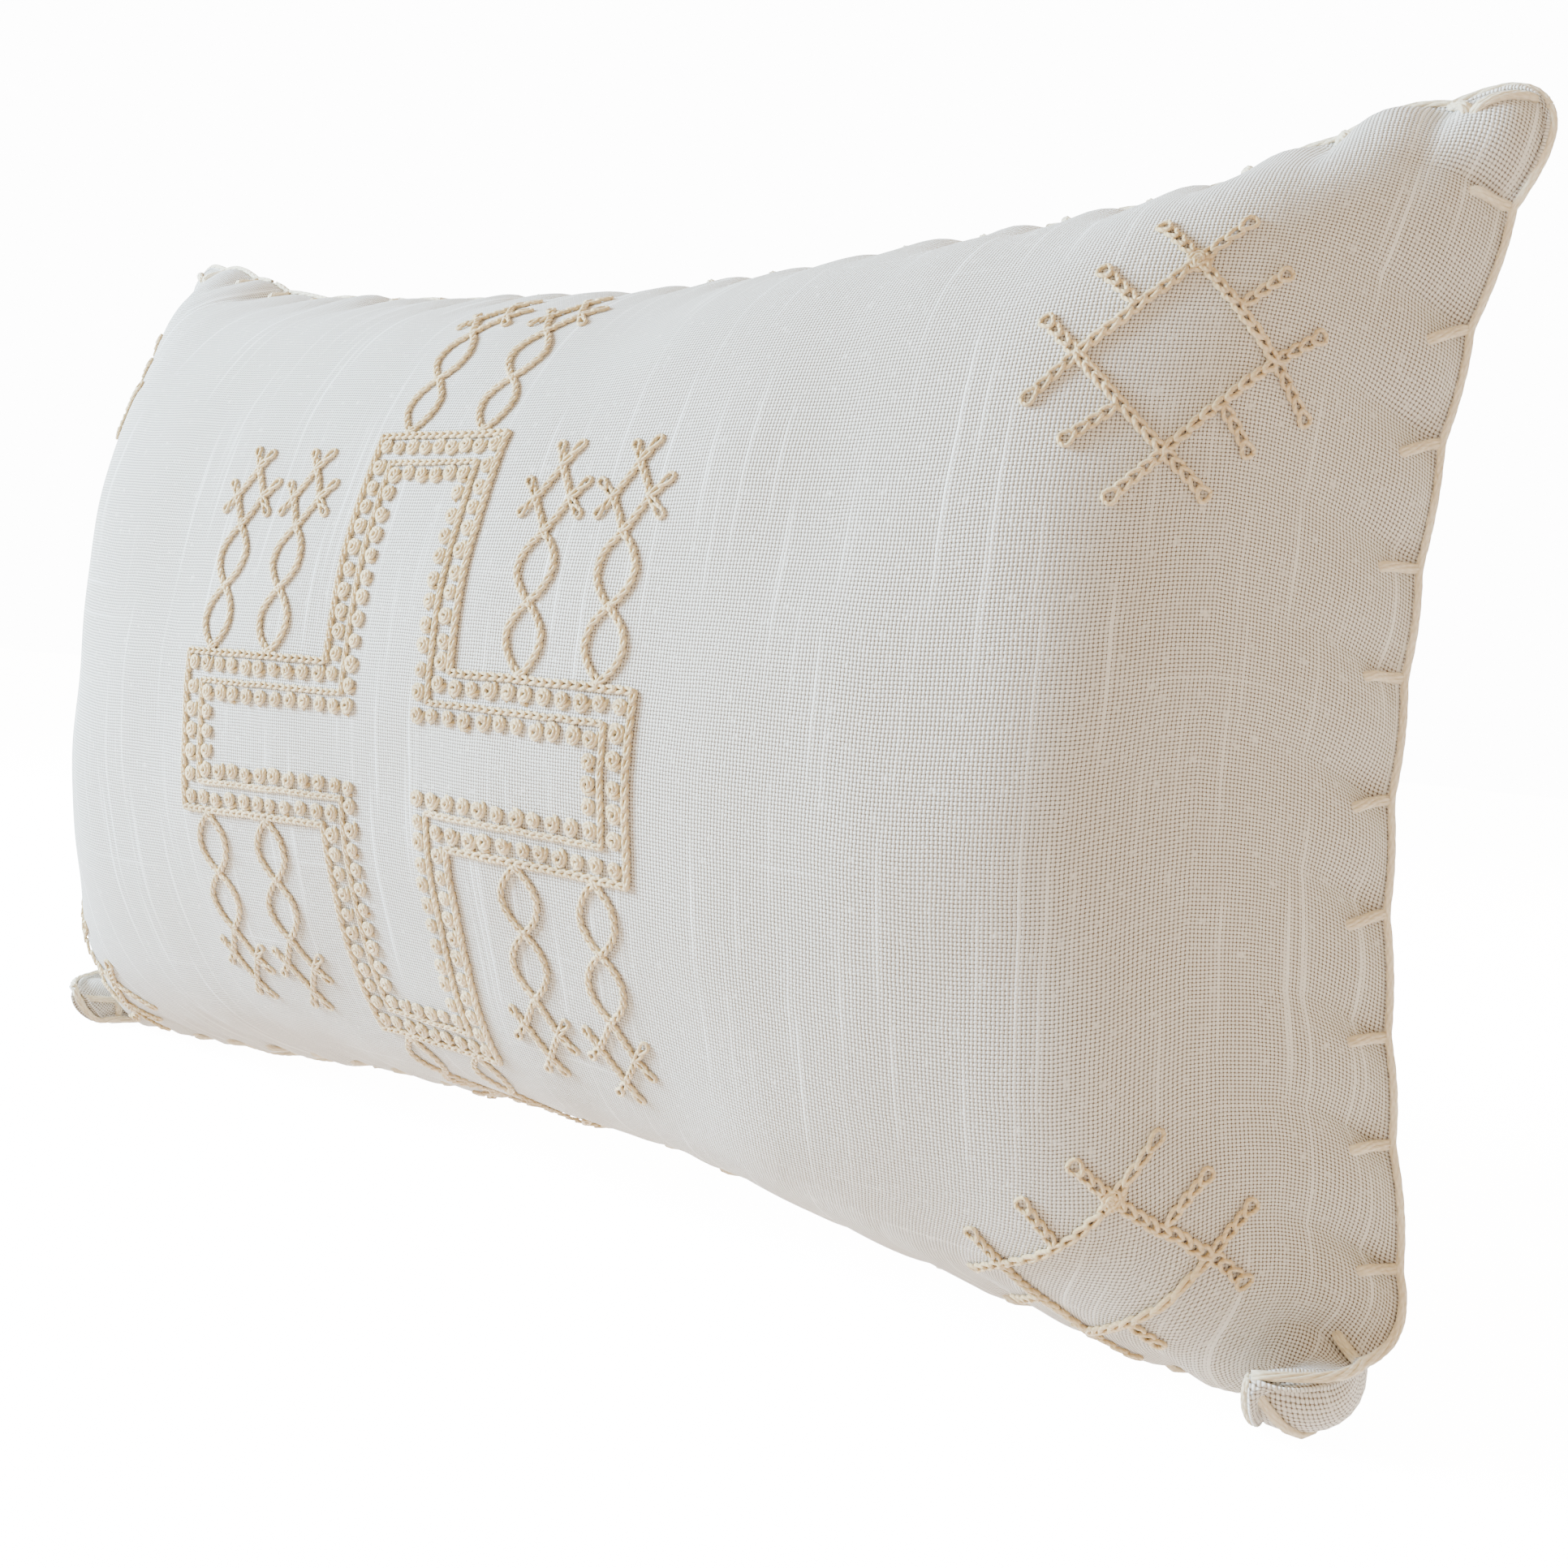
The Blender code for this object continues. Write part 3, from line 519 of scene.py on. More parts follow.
class Shader:
    """A short way to write node materials."""

    def __init__(self, name, roughness, **settings):
        self.material = bpy.data.materials.new(name)
        self.material.use_nodes = True
        self.tree = self.material.node_tree
        self.principled = self.tree.nodes["Principled BSDF"]
        self.principled.inputs["Roughness"].default_value = roughness
        for key, value in settings.items():
            self.principled.inputs[key.replace("_", " ")].default_value = value

    def node(self, kind, inputs=None, **settings):
        node = self.tree.nodes.new("ShaderNode" + kind)
        for key, value in settings.items():
            setattr(node, key, value)
        for key, value in (inputs or {}).items():
            self.plug(node.inputs[key], value)
        return node

    def plug(self, socket, value):
        if isinstance(value, bpy.types.NodeSocket):
            self.tree.links.new(value, socket)
        else:
            socket.default_value = value

    def math(self, operation, *values):
        node = self.node("Math", dict(enumerate(values)), operation=operation)
        return node.outputs[0]

    def mix(self, share, low, high):
        node = self.node("Mix", {0: share, 6: low, 7: high}, data_type="RGBA")
        return node.outputs[2]

    def noise(self, vector, scale, detail=2.0):
        node = self.node("TexNoise", {"Vector": vector, "Scale": scale, "Detail": detail})
        return node.outputs["Fac"]

    def ramp(self, value, low, high):
        """0 at low and 1 at high."""
        node = self.node("MapRange", {"Value": value, "From Min": low, "From Max": high},
                         interpolation_type="SMOOTHSTEP")
        return node.outputs[0]

    def place(self):
        return self.node("TexCoord").outputs["Object"]

    def uv(self, name):
        split = self.node("SeparateXYZ", {0: self.node("UVMap", uv_map=name).outputs[0]})
        return split.outputs[0], split.outputs[1]

    def vector(self, x, y, z=0.0):
        return self.node("CombineXYZ", {0: x, 1: y, 2: z}).outputs[0]

    def finish(self, colour, height=None, distance=0.0003, strength=1.0):
        self.plug(self.principled.inputs["Base Color"], colour)
        if height is not None:
            bump = self.node("Bump", {"Height": height, "Distance": distance, "Strength": strength})
            self.tree.links.new(bump.outputs[0], self.principled.inputs["Normal"])
        return self.material


def weave(name, pitch, light, shade, hole, slubs):
    """Open plain weave over the flat cloth's UVs, with uneven threads and slubs; the gaps between the
    threads get painted shade.
    """
    sh = Shader(name, 0.92, Sheen_Weight=0.25, Sheen_Roughness=0.5)
    u, v = sh.uv("flat")
    flat = sh.vector(u, v)
    drift = sh.math("MULTIPLY", sh.math("SUBTRACT", sh.noise(flat, 70.0), 0.5), pitch * 0.9)
    drift_v = sh.math("MULTIPLY", sh.math("SUBTRACT", sh.noise(flat, 60.0, 1.0), 0.5), pitch * 0.9)
    warp_at = sh.math("DIVIDE", sh.math("ADD", u, drift), pitch)
    weft_at = sh.math("DIVIDE", sh.math("ADD", v, drift_v), pitch * 0.93)
    a = sh.math("SINE", sh.math("MULTIPLY", warp_at, math.pi))
    b = sh.math("SINE", sh.math("MULTIPLY", weft_at, math.pi))
    warp_body = sh.math("POWER", sh.math("ABSOLUTE", a), 0.55)
    weft_body = sh.math("POWER", sh.math("ABSOLUTE", b), 0.55)
    warp_over = sh.math("MULTIPLY", sh.math("SIGN", a), b)
    weft_over = sh.math("MULTIPLY", sh.math("SIGN", b), a)
    warp_high = sh.math("MULTIPLY", warp_body, sh.math("MULTIPLY_ADD", warp_over, 0.40, 0.60))
    weft_high = sh.math("MULTIPLY", weft_body, sh.math("MULTIPLY_ADD", weft_over, -0.40, 0.60))
    height = sh.math("MAXIMUM", warp_high, weft_high)
    warp_slub = sh.noise(sh.vector(sh.math("MULTIPLY", sh.math("FLOOR", warp_at), 0.73),
                                   sh.math("MULTIPLY", v, 11.0)), 1.0, 1.0)
    weft_slub = sh.noise(sh.vector(sh.math("MULTIPLY", u, 11.0),
                                   sh.math("MULTIPLY", sh.math("FLOOR", weft_at), 0.71), 5.0), 1.0, 1.0)
    warp_slub = sh.math("MULTIPLY", sh.ramp(warp_slub, 0.60, 0.78), slubs)
    weft_slub = sh.math("MULTIPLY", sh.ramp(weft_slub, 0.68, 0.86), slubs * 0.6)
    slub = sh.math("MAXIMUM", warp_slub, weft_slub)
    patch = sh.noise(flat, 9.0, 3.0)
    thread = sh.mix(sh.ramp(patch, 0.30, 0.72), light, shade)
    thread = sh.mix(slub, thread, (0.93, 0.90, 0.85, 1.0))
    solid = sh.ramp(sh.math("ADD", height, sh.math("MULTIPLY", slub, 0.40)), 0.32, 0.80)
    # painted shade: the gaps between the threads take the dark hole colour, as the shade seen through
    # the weave; where the noise closes a gap it takes the darker thread colour
    painted_gap_shade = sh.mix(sh.ramp(sh.noise(flat, 420.0, 1.0), 0.16, 0.40), shade, hole)
    colour = sh.mix(solid, painted_gap_shade, thread)
    raised = sh.math("ADD", height, sh.math("MULTIPLY", slub, 0.5))
    return sh.finish(colour, raised, 0.00045, 0.9)


def spun(name, light, dark, twist_pitch, roughness=0.78):
    """Soft twisted cotton with painted shade in the twist's grooves; the strand's UVs are its length in
    metres and the share around it.
    """
    sh = Shader(name, roughness, Sheen_Weight=0.35, Sheen_Roughness=0.4)
    length, around = sh.uv("strand")
    turns = sh.math("MULTIPLY", length, 2 * math.pi / twist_pitch)
    spiral = sh.math("SINE", sh.math("ADD", turns, sh.math("MULTIPLY", around, 4 * math.pi)))
    ply_and_groove_shade = sh.math("MULTIPLY_ADD", spiral, 0.5, 0.5)
    place = sh.place()
    hairs = sh.noise(place, 2600.0, 2.0)
    tone = sh.noise(place, 60.0, 3.0)
    # painted shade: a third of the colour mix darkens the twist's grooves; the rest is tone that
    # differs at random
    share = sh.math("ADD", sh.math("MULTIPLY", ply_and_groove_shade, 0.35),
                    sh.math("MULTIPLY", sh.ramp(tone, 0.3, 0.7), 0.65))
    colour = sh.mix(share, dark, light)
    height = sh.math("ADD", ply_and_groove_shade, sh.math("MULTIPLY", hairs, 0.5))
    return sh.finish(colour, height, 0.00018, 0.8)


def plain_cloth(name, light, dark, pitch):
    """Fine woven lining, tape or ticking, by place in space, with painted shade in the weave's dips."""
    sh = Shader(name, 0.85, Sheen_Weight=0.15)
    place = sh.place()
    split = sh.node("SeparateXYZ", {0: place})
    ribs = [sh.math("SINE", sh.math("MULTIPLY", split.outputs[k], 2 * math.pi / pitch)) for k in (0, 2)]
    height = sh.math("MULTIPLY_ADD", sh.math("MULTIPLY", *ribs), 0.5, 0.5)
    # painted shade: half of the colour mix darkens the low parts of the weave's ribs; the other half is
    # tone that differs at random
    share = sh.math("ADD", sh.math("MULTIPLY", height, 0.5),
                    sh.math("MULTIPLY", sh.noise(place, 45.0, 3.0), 0.5))
    return sh.finish(sh.mix(share, dark, light), height, 0.0001, 0.6)


def fibre(name):
    """Loose white polyester fill, with painted shade in the hollows between its lumps."""
    sh = Shader(name, 0.95, Sheen_Weight=0.4)
    place = sh.place()
    lumps = sh.noise(place, 35.0, 5.0)
    hairs = sh.noise(place, 900.0, 3.0)
    height = sh.math("ADD", lumps, sh.math("MULTIPLY", hairs, 0.4))
    # painted shade: the fill is greyer where its lumps are low
    return sh.finish(sh.mix(lumps, (0.80, 0.80, 0.80, 1), (0.95, 0.95, 0.96, 1)), height, 0.004, 0.8)


def nylon(name):
    """Satin coil teeth with faint moulding and dye variation."""
    sh = Shader(name, 0.38, Subsurface_Weight=0.1)
    place = sh.place()
    tone = sh.noise(place, 240.0, 3.0)
    colour = sh.mix(tone, (0.74, 0.71, 0.63, 1), (0.90, 0.87, 0.80, 1))
    return sh.finish(colour, sh.noise(place, 3000.0), 0.00004, 0.5)


def nickel(name):
    """Brushed nickel with fine scratches and worn, smoother patches."""
    sh = Shader(name, 0.32, Metallic=1.0)
    place = sh.place()
    split = sh.node("SeparateXYZ", {0: place})
    fine = [sh.math("MULTIPLY", split.outputs[k], rate) for k, rate in enumerate(GRAIN_RATES)]
    grain = sh.noise(sh.vector(*fine), 1.0, 3.0)
    wear = sh.noise(place, 420.0, 4.0)
    colour = sh.mix(wear, (0.52, 0.51, 0.48, 1), (0.80, 0.79, 0.76, 1))
    rough = sh.math("ADD", 0.22, sh.math("MULTIPLY", wear, 0.30))
    sh.plug(sh.principled.inputs["Roughness"], rough)
    return sh.finish(colour, grain, 0.00003, 0.7)


# the cover's last colour is painted shade for the gaps between its threads
COVER = weave("cover_weave", 0.00088, (0.84, 0.79, 0.72, 1), (0.78, 0.725, 0.65, 1),
              (0.13, 0.085, 0.045, 1), 1.0)
THREAD_MAT = spun("embroidery_cotton", (0.76, 0.57, 0.30, 1), (0.50, 0.345, 0.15, 1), 0.0013)
YARN_MAT = spun("stitch_yarn", (0.86, 0.76, 0.56, 1), (0.68, 0.55, 0.35, 1), 0.0020, 0.82)
HEM_THREAD = spun("hem_thread", (0.88, 0.85, 0.78, 1), (0.74, 0.70, 0.62, 1), 0.0006)
CASING = plain_cloth("insert_casing", (0.94, 0.94, 0.93, 1), (0.84, 0.84, 0.83, 1), 0.0009)
TAPE = plain_cloth("zip_tape", (0.88, 0.85, 0.78, 1), (0.74, 0.71, 0.64, 1), 0.0007)
LABEL = plain_cloth("label_satin", (0.95, 0.95, 0.94, 1), (0.87, 0.87, 0.86, 1), 0.0004)
FIBRE = fibre("polyester_fibre")
NYLON = nylon("coil_nylon")
NICKEL = nickel("zip_nickel")


# ------------------------------------------------ cover
def even(low, high, cell=CELL):
    return np.linspace(low, high, max(2, round((high - low) / cell) + 1))


WHOLE_CLOTH = (even(-FLAT_WIDTH / 2, FLAT_WIDTH / 2), even(-FLAT_HEIGHT / 2, FLAT_HEIGHT / 2))
FRONT_CLOTH = Cloth(*WHOLE_CLOTH, FRONT)
BACK_CLOTH = Cloth(*WHOLE_CLOTH, BACK)


def front_cover():
    u, v = np.meshgrid(FRONT_CLOTH.us, FRONT_CLOTH.vs, indexing="ij")
    obj = new_object("cover_front", sheet_mesh("cover_front", FRONT_CLOTH.points, u, v, False),
                     COVER)
    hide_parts("front_panel")
    return thicken(obj, CLOTH_THICK)


def back_cover(name, up, node):
    """Half of the back, from the zip's slot to the seams, with its hem's edge beside the zip."""
    us = BACK_CLOTH.us
    x_share, _ = shares_at(us, 0)
    x = np.abs(x_share) * (HALF_WIDTH - SIDE_PULL)
    opened = 1 - smooth((x - ZIP_HALF_LENGTH + 0.003) / 0.012)
    hem = SEAM_GAP + (HEM_HALF - SEAM_GAP) * opened
    share = even(0, 1, CELL / (FLAT_HEIGHT / 2))
    v = up * (hem[:, None] + (FLAT_HEIGHT / 2 - hem[:, None]) * share[None, :])
    u = np.broadcast_to(us[:, None], v.shape)
    points = BACK_CLOTH.place(u, v, 0.0)
    obj = new_object(name, sheet_mesh(name, points, u, v, up > 0), COVER)
    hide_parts(node)
    return thicken(obj, CLOTH_THICK)


# ------------------------------------------------ inner pillow
def closed_pillow(name, inset, lumps, mat, nodes):
    """A closed crowned form that keeps inset below the cover."""
    shares = bunched(73)
    s, t = np.meshgrid(shares, shares, indexing="ij")
    depths = []
    bm = bmesh.new()
    for side in (FRONT, BACK):
        points = skin(s, t, side, inset)
        points += grid_normals(points, side) * (lumps * waves(s, t, 51 + side, 0.5))[..., None]
        rim = (np.abs(s) > 0.9999) | (np.abs(t) > 0.9999)
        points[rim, 1] = skin(s, t, FRONT, inset)[rim, 1] + SEAM_GAP
        points[..., 2] = np.maximum(points[..., 2], inset)
        depths.append([[bm.verts.new(p) for p in row] for row in points])
    for side, grid in zip((FRONT, BACK), depths):
        for i in range(len(shares) - 1):
            for j in range(len(shares) - 1):
                corners = [grid[i][j], grid[i + 1][j], grid[i + 1][j + 1], grid[i][j + 1]]
                bm.faces.new(corners if side == FRONT else corners[::-1])
    bmesh.ops.remove_doubles(bm, verts=bm.verts, dist=1e-6)
    mesh = bpy.data.meshes.new(name)
    bm.to_mesh(mesh)
    bm.free()
    obj = new_object(name, mesh, mat)
    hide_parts(*nodes)
    return obj


# ------------------------------------------------ stitches
def resample(path, pitch):
    """Points a whole number of about pitch apart along a path of (u, v) points."""
    path = np.asarray(path, float)
    steps = np.linalg.norm(np.diff(path, axis=0), axis=1)
    total = np.concatenate([[0], np.cumsum(steps)])
    places = np.linspace(0, total[-1], max(1, round(total[-1] / pitch)) + 1)
    return np.stack([np.interp(places, total, path[:, k]) for k in (0, 1)], -1)


LOOP = np.arange(12) * 2 * math.pi / 12


def embroidered(u, v, lift):
    """Points and normals of the front cover at (u, v) from the pattern's middle."""
    u, v = u + EMBROIDERY_SHIFT[0], v + EMBROIDERY_SHIFT[1]
    return FRONT_CLOTH.place(u, v, lift), FRONT_CLOTH.normal(u, v)


def link(threads, here, there, width, radius, over=1.15):
    """One chain stitch: a drop-shaped loop from here to there, over the link before it."""
    ahead = there - here
    across = np.array([-ahead[1], ahead[0]]) / np.linalg.norm(ahead)
    along = 0.5 - 0.5 * over * np.cos(LOOP)
    swing = 0.5 * width * np.sin(LOOP) * (0.72 - 0.38 * np.cos(LOOP))
    flat = here + along[:, None] * ahead + swing[:, None] * across
    lift = radius * (0.75 + 0.55 * (1 + np.cos(LOOP)))
    threads.add(*embroidered(flat[:, 0], flat[:, 1], lift), radius, closed=True)


def chain(threads, path, pitch, width, radius, rng):
    """A line of chain stitch along a path on the flat cloth."""
    points = resample(path, pitch)
    points[1:-1] += rng.normal(0, 0.00010, points[1:-1].shape)
    for here, there in zip(points[:-1], points[1:]):
        link(threads, here, there, width * rng.uniform(0.90, 1.10), radius)


def rosette(threads, centre, size, radius, rng):
    """A small coiled knot."""
    turns = 2.15
    share = np.linspace(0, 1, 24)
    angle = rng.uniform(0, 2 * math.pi) + turns * 2 * math.pi * share
    reach = size * (0.22 + 0.78 * share) * (1 + 0.06 * np.sin(3 * angle))
    u, v = centre[0] + reach * np.cos(angle), centre[1] + reach * np.sin(angle)
    lift = radius * (2.3 - 1.3 * share)
    lift[0], lift[-1] = radius * 0.6, -radius * 0.4
    threads.add(*embroidered(u, v, lift), radius)


def cross_outline(inward):
    """The cross's closed outline, moved inward."""
    end, top = CROSS_HALF_LENGTH - inward, CROSS_HALF_HEIGHT - inward
    across, above = UPRIGHT_ARM_HALF - inward, LEVEL_ARM_HALF - inward
    corners = [(across, above), (across, top), (-across, top), (-across, above),
               (-end, above), (-end, -above), (-across, -above), (-across, -top),
               (across, -top), (across, -above), (end, -above), (end, above)]
    return np.array(corners + corners[:1])


def cross(rng):
    """The cross's two outlines of chain stitch and its two rows of knots."""
    for name, (inward, pitch, width, radius) in CROSS_CHAINS.items():
        threads = Threads()
        outline = cross_outline(inward)
        for here, there in zip(outline[:-1], outline[1:]):
            chain(threads, [here, there], pitch, width, radius, rng)
        finish_stitches(threads, name)
    for name, inward in (("cross_outer_knots", OUTER_KNOTS_IN), ("cross_inner_knots", INNER_KNOTS_IN)):
        threads = Threads()
        outline = cross_outline(inward)
        for here, there in zip(outline[:-1], outline[1:]):
            for centre in resample([here, there], KNOT_PITCH)[:-1]:
                place = centre + rng.normal(0, 0.00018, 2)
                rosette(threads, place, KNOT_RADIUS * rng.uniform(0.88, 1.10), THREAD, rng)
        finish_stitches(threads, name)


def finish_stitches(threads, name):
    obj = threads.build(name + "_stitches", THREAD_MAT, "embroidery_thread")
    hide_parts(name)


def spur(threads, base, direction, length, width, rng):
    """A short run of links that ends in a wider loop."""
    direction = np.asarray(direction, float) / np.linalg.norm(direction)
    turned = rng.normal(0, 0.06)
    cos, sin = math.cos(turned), math.sin(turned)
    direction = np.array([cos * direction[0] - sin * direction[1],
                          sin * direction[0] + cos * direction[1]])
    length *= rng.uniform(0.9, 1.1)
    links = max(1, round(length / SPUR_LINK))
    points = [np.asarray(base) + direction * length * k / links for k in range(links + 1)]
    for count, (here, there) in enumerate(zip(points[:-1], points[1:])):
        wide = width * (1.4 if count == links - 1 else 1.0)
        link(threads, here, there, wide, THREAD * 0.95, 1.20)


def oval_chain(name, base, up, rng):
    """Two lines of chain stitch that cross into two ovals and a spurred diamond."""
    base = np.asarray(base, float)
    threads = Threads()
    run = np.linspace(0, 3, 61)
    swing = np.where(run < 2, np.abs(np.sin(math.pi * run)) ** 0.85, 1 - np.abs(2 * (run % 1) - 1))
    swing = np.where(run >= 3, 0, swing)
    turn = np.where(run.astype(int) % 2 == 0, 1, -1)
    for side in (-1, 1):
        u = base[0] + side * turn * swing * OVAL_HALF
        v = base[1] + up * (OVAL_FOOT + run * OVAL_LENGTH)
        chain(threads, np.stack([u, v], -1), *OVAL_CHAIN, THREAD * 0.95, rng)
    tip = base + (0, up * (OVAL_FOOT + 3 * OVAL_LENGTH))
    middle = base + (0, up * (OVAL_FOOT + 2.5 * OVAL_LENGTH))
    for side in (-1, 1):
        corner = middle + (side * OVAL_HALF, 0)
        spur(threads, corner, (side, up), SPUR_LENGTHS[0], SPUR_WIDTH, rng)
        spur(threads, corner, (side, -up), SPUR_LENGTHS[1], SPUR_WIDTH, rng)
        spur(threads, tip, (side * 0.75, up), SPUR_LENGTHS[2], SPUR_WIDTH, rng)
    finish_stitches(threads, name)


def corner_diamond(name, centre, rng):
    """A diamond of chain stitch, with spurs at its corners and sides and one knot."""
    centre = np.asarray(centre, float)
    threads = Threads()
    corners = [centre + DIAMOND_HALF * np.array(d) for d in ((1, 0), (0, 1), (-1, 0), (0, -1))]
    for here, there in zip(corners, corners[1:] + corners[:1]):
        chain(threads, [here, there], *DIAMOND_CHAIN, THREAD * 1.10, rng)
        ahead = (there - here) / np.linalg.norm(there - here)
        out = np.array([ahead[1], -ahead[0]])
        side = (here + there) / 2 + out * 0.0012
        spur(threads, there, ahead, DIAMOND_SPURS[0], DIAMOND_SPUR_WIDTH, rng)
        spur(threads, here, -ahead, DIAMOND_SPURS[0], DIAMOND_SPUR_WIDTH, rng)
        spur(threads, side, out, DIAMOND_SPURS[1], DIAMOND_SPUR_WIDTH, rng)
    rosette(threads, corners[1], KNOT_RADIUS * 1.15, THREAD, rng)
    finish_stitches(threads, name)


def embroidery():
    """The whole pattern on the front: the cross, then the ovals and a diamond in each quarter."""
    rng = np.random.default_rng(7)
    cross(rng)
    for up, level in ((1, "upper"), (-1, "lower")):
        for side, hand in ((-1, "left"), (1, "right")):
            for count, place in enumerate(OVAL_PLACES, start=1):
                base = (side * place, up * LEVEL_ARM_HALF)
                oval_chain(f"oval_chain_{level}_{hand}_{count}", base, up, rng)
            base = (side * OVAL_TIP, up * CROSS_HALF_HEIGHT)
            oval_chain(f"oval_chain_{level}_middle_{hand}", base, up, rng)
            centre = (side * DIAMOND_X, up * DIAMOND_Z)
            corner_diamond(f"corner_diamond_{level}_{hand}", centre, rng)


# ------------------------------------------------ blanket stitch
def seam_uv(seam, along, away):
    """Flat place at a distance away from a seam."""
    along = np.asarray(along, float)
    away = np.broadcast_to(away, along.shape)
    sign = 1 if seam in ("top", "right") else -1
    if seam in ("top", "bottom"):
        return along, sign * (FLAT_HEIGHT / 2 - away)
    return sign * (FLAT_WIDTH / 2 - away), along


def edge_frame(seam, along):
    """Points on the seam and the direction out of it."""
    u, v = seam_uv(seam, along, 0.0)
    middle = (FRONT_CLOTH.place(u, v, 0) + BACK_CLOTH.place(u, v, 0)) / 2
    step = 0.001
    ahead = (FRONT_CLOTH.place(*seam_uv(seam, along + step, 0.0), 0)
             - FRONT_CLOTH.place(*seam_uv(seam, along - step, 0.0), 0))
    out = np.cross(FRONT_CLOTH.normal(u, v) - BACK_CLOTH.normal(u, v), ahead)
    return middle, unit(out if seam in ("top", "left") else -out)


def bundle(threads, path, ups, strands, spread, radius, twist, rng):
    """Strands that run together along path, twisting slowly."""
    ahead = np.gradient(path, axis=0)
    across = unit(np.cross(ahead, ups))
    steps = np.linalg.norm(np.diff(path, axis=0, prepend=path[:1]), axis=1)
    length = np.cumsum(steps)
    phase = rng.uniform(0, 2 * math.pi)
    for k in range(strands):
        angle = phase + 2 * math.pi * (k / strands + length / twist)
        offset = (np.cos(angle)[:, None] * across * spread
                  + np.sin(angle)[:, None] * ups * spread * 0.6)
        threads.add(path + offset, ups, radius, start=rng.uniform(0, 0.01))


def leg(threads, cloth, seam, place, slant, away, rng):
    """One leg of a stitch: from the seam's edge to its hole in the panel."""
    share = np.linspace(0, 1, 9)
    u, v = seam_uv(seam, place + slant * share, away * share)
    ups = cloth.normal(u, v)
    path = cloth.place(u, v, 0.0007)
    middle, out = edge_frame(seam, np.array([place]))
    path[0] = middle[0] + out[0] * YARN_OUT
    path[-1] -= ups[-1] * 0.0016
    path[-2] -= ups[-2] * 0.0002
    bundle(threads, path, ups, *LEG_BUNDLE, YARN, LEG_TWIST, rng)


def blanket_stitch():
    """The yarn along each seam, with its legs on both sides and one more pair at each ear."""
    rng = np.random.default_rng(17)
    for seam, stitches in STITCHES.items():
        threads = Threads()
        half = stitches[-1]
        along = even(-half, half, 0.0020)
        middle, out = edge_frame(seam, along)
        path = middle + out * YARN_OUT
        bundle(threads, path, out, *SEAM_BUNDLE, YARN, SEAM_TWIST, rng)
        ahead = 1 if seam in ("top", "left") else -1
        last = len(stitches) - 2
        for count, place in enumerate(stitches[1:-1], start=1):
            slant = ahead * STITCH_SLANT[seam] * rng.uniform(0.7, 1.3)
            if count in (1, last):
                slant = CORNER_SLANT[seam] * np.sign(place)
            for cloth in (FRONT_CLOTH, BACK_CLOTH):
                leg(threads, cloth, seam, place, slant, STITCH_DEPTH * rng.uniform(0.92, 1.06), rng)
        if seam in ("top", "bottom"):
            for place in stitches[[1, last]]:
                hole = place + np.sign(place) * CORNER_SLANT[seam]
                tip = np.sign(place) * (half - 0.001)
                for cloth in (FRONT_CLOTH, BACK_CLOTH):
                    leg(threads, cloth, seam, tip, hole - tip, STITCH_DEPTH, rng)
        obj = threads.build(f"edge_yarn_{seam}_stitches", YARN_MAT, "edge_yarn")
        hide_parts(f"edge_yarn_{seam}")


# ------------------------------------------------ zip
def zip_teeth(name, up, node):
    """A row of coil teeth: one flattened spiral of nylon along the tape's edge."""
    low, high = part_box(node)
    turns = (high.x - low.x) / TOOTH_PITCH
    angle = np.linspace(0, 2 * math.pi * turns, int(turns * 14) + 1)
    centre_y, centre_z = (low.y + high.y) / 2, (low.z + high.z) / 2
    half_y = (high.y - low.y) / 2 - TOOTH_THREAD
    half_z = (high.z - low.z) / 2 - TOOTH_THREAD
    flat = np.sign(np.cos(angle)) * np.abs(np.cos(angle)) ** 0.6
    x = low.x + (high.x - low.x) * angle / angle[-1]
    y = centre_y + half_y * np.sin(angle)
    z = centre_z + up * half_z * flat
    path = np.stack([x, y, z], -1)
    threads = Threads()
    ups = np.broadcast_to([1.0, 0.0, 0.0], path.shape)
    threads.add(path, ups, TOOTH_THREAD)
    obj = threads.build(name, NYLON, "zipper_coil")
    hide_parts(node)
    return obj


def hem_stitches(name, up):
    """Rows of machine stitches that hold the hem to the tape."""
    threads = Threads(5)
    for row in HEM_ROWS:
        v = up * (HEM_HALF + row)
        for u0 in np.arange(-ZIP_HALF_LENGTH + 0.004, ZIP_HALF_LENGTH - 0.004, HEM_PITCH):
            share = np.linspace(0, 1, 5)
            u = u0 + HEM_STITCH * share
            lift = 0.00016 + 0.00022 * np.sin(math.pi * share) - 0.0003 * (np.abs(share - 0.5) > 0.45)
            vs = np.full(5, v)
            threads.add(BACK_CLOTH.place(u, vs, lift), BACK_CLOTH.normal(u, vs), 0.00020)
    return threads.build(name, HEM_THREAD, "cover_cotton")


def care_label():
    """A blank satin label inside the back."""
    low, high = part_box("care_label")
    x, z = np.meshgrid(np.linspace(low.x, high.x, 24), np.linspace(low.z, high.z, 20), indexing="ij")
    s = x / (HALF_WIDTH - SIDE_PULL)
    reach_down = MID_HEIGHT + BASE_SQUASH - BASE_PULL * (1 - np.abs(s) ** EDGE_FLARE)
    points = skin(s, (z - MID_HEIGHT) / reach_down, BACK)
    points -= grid_normals(points, BACK) * LABEL_DEPTH
    obj = new_object("care_label_cloth", sheet_mesh("care_label_cloth", points, x, z, True),
                     LABEL)
    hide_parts("care_label")
    return thicken(obj, LABEL_THICK)


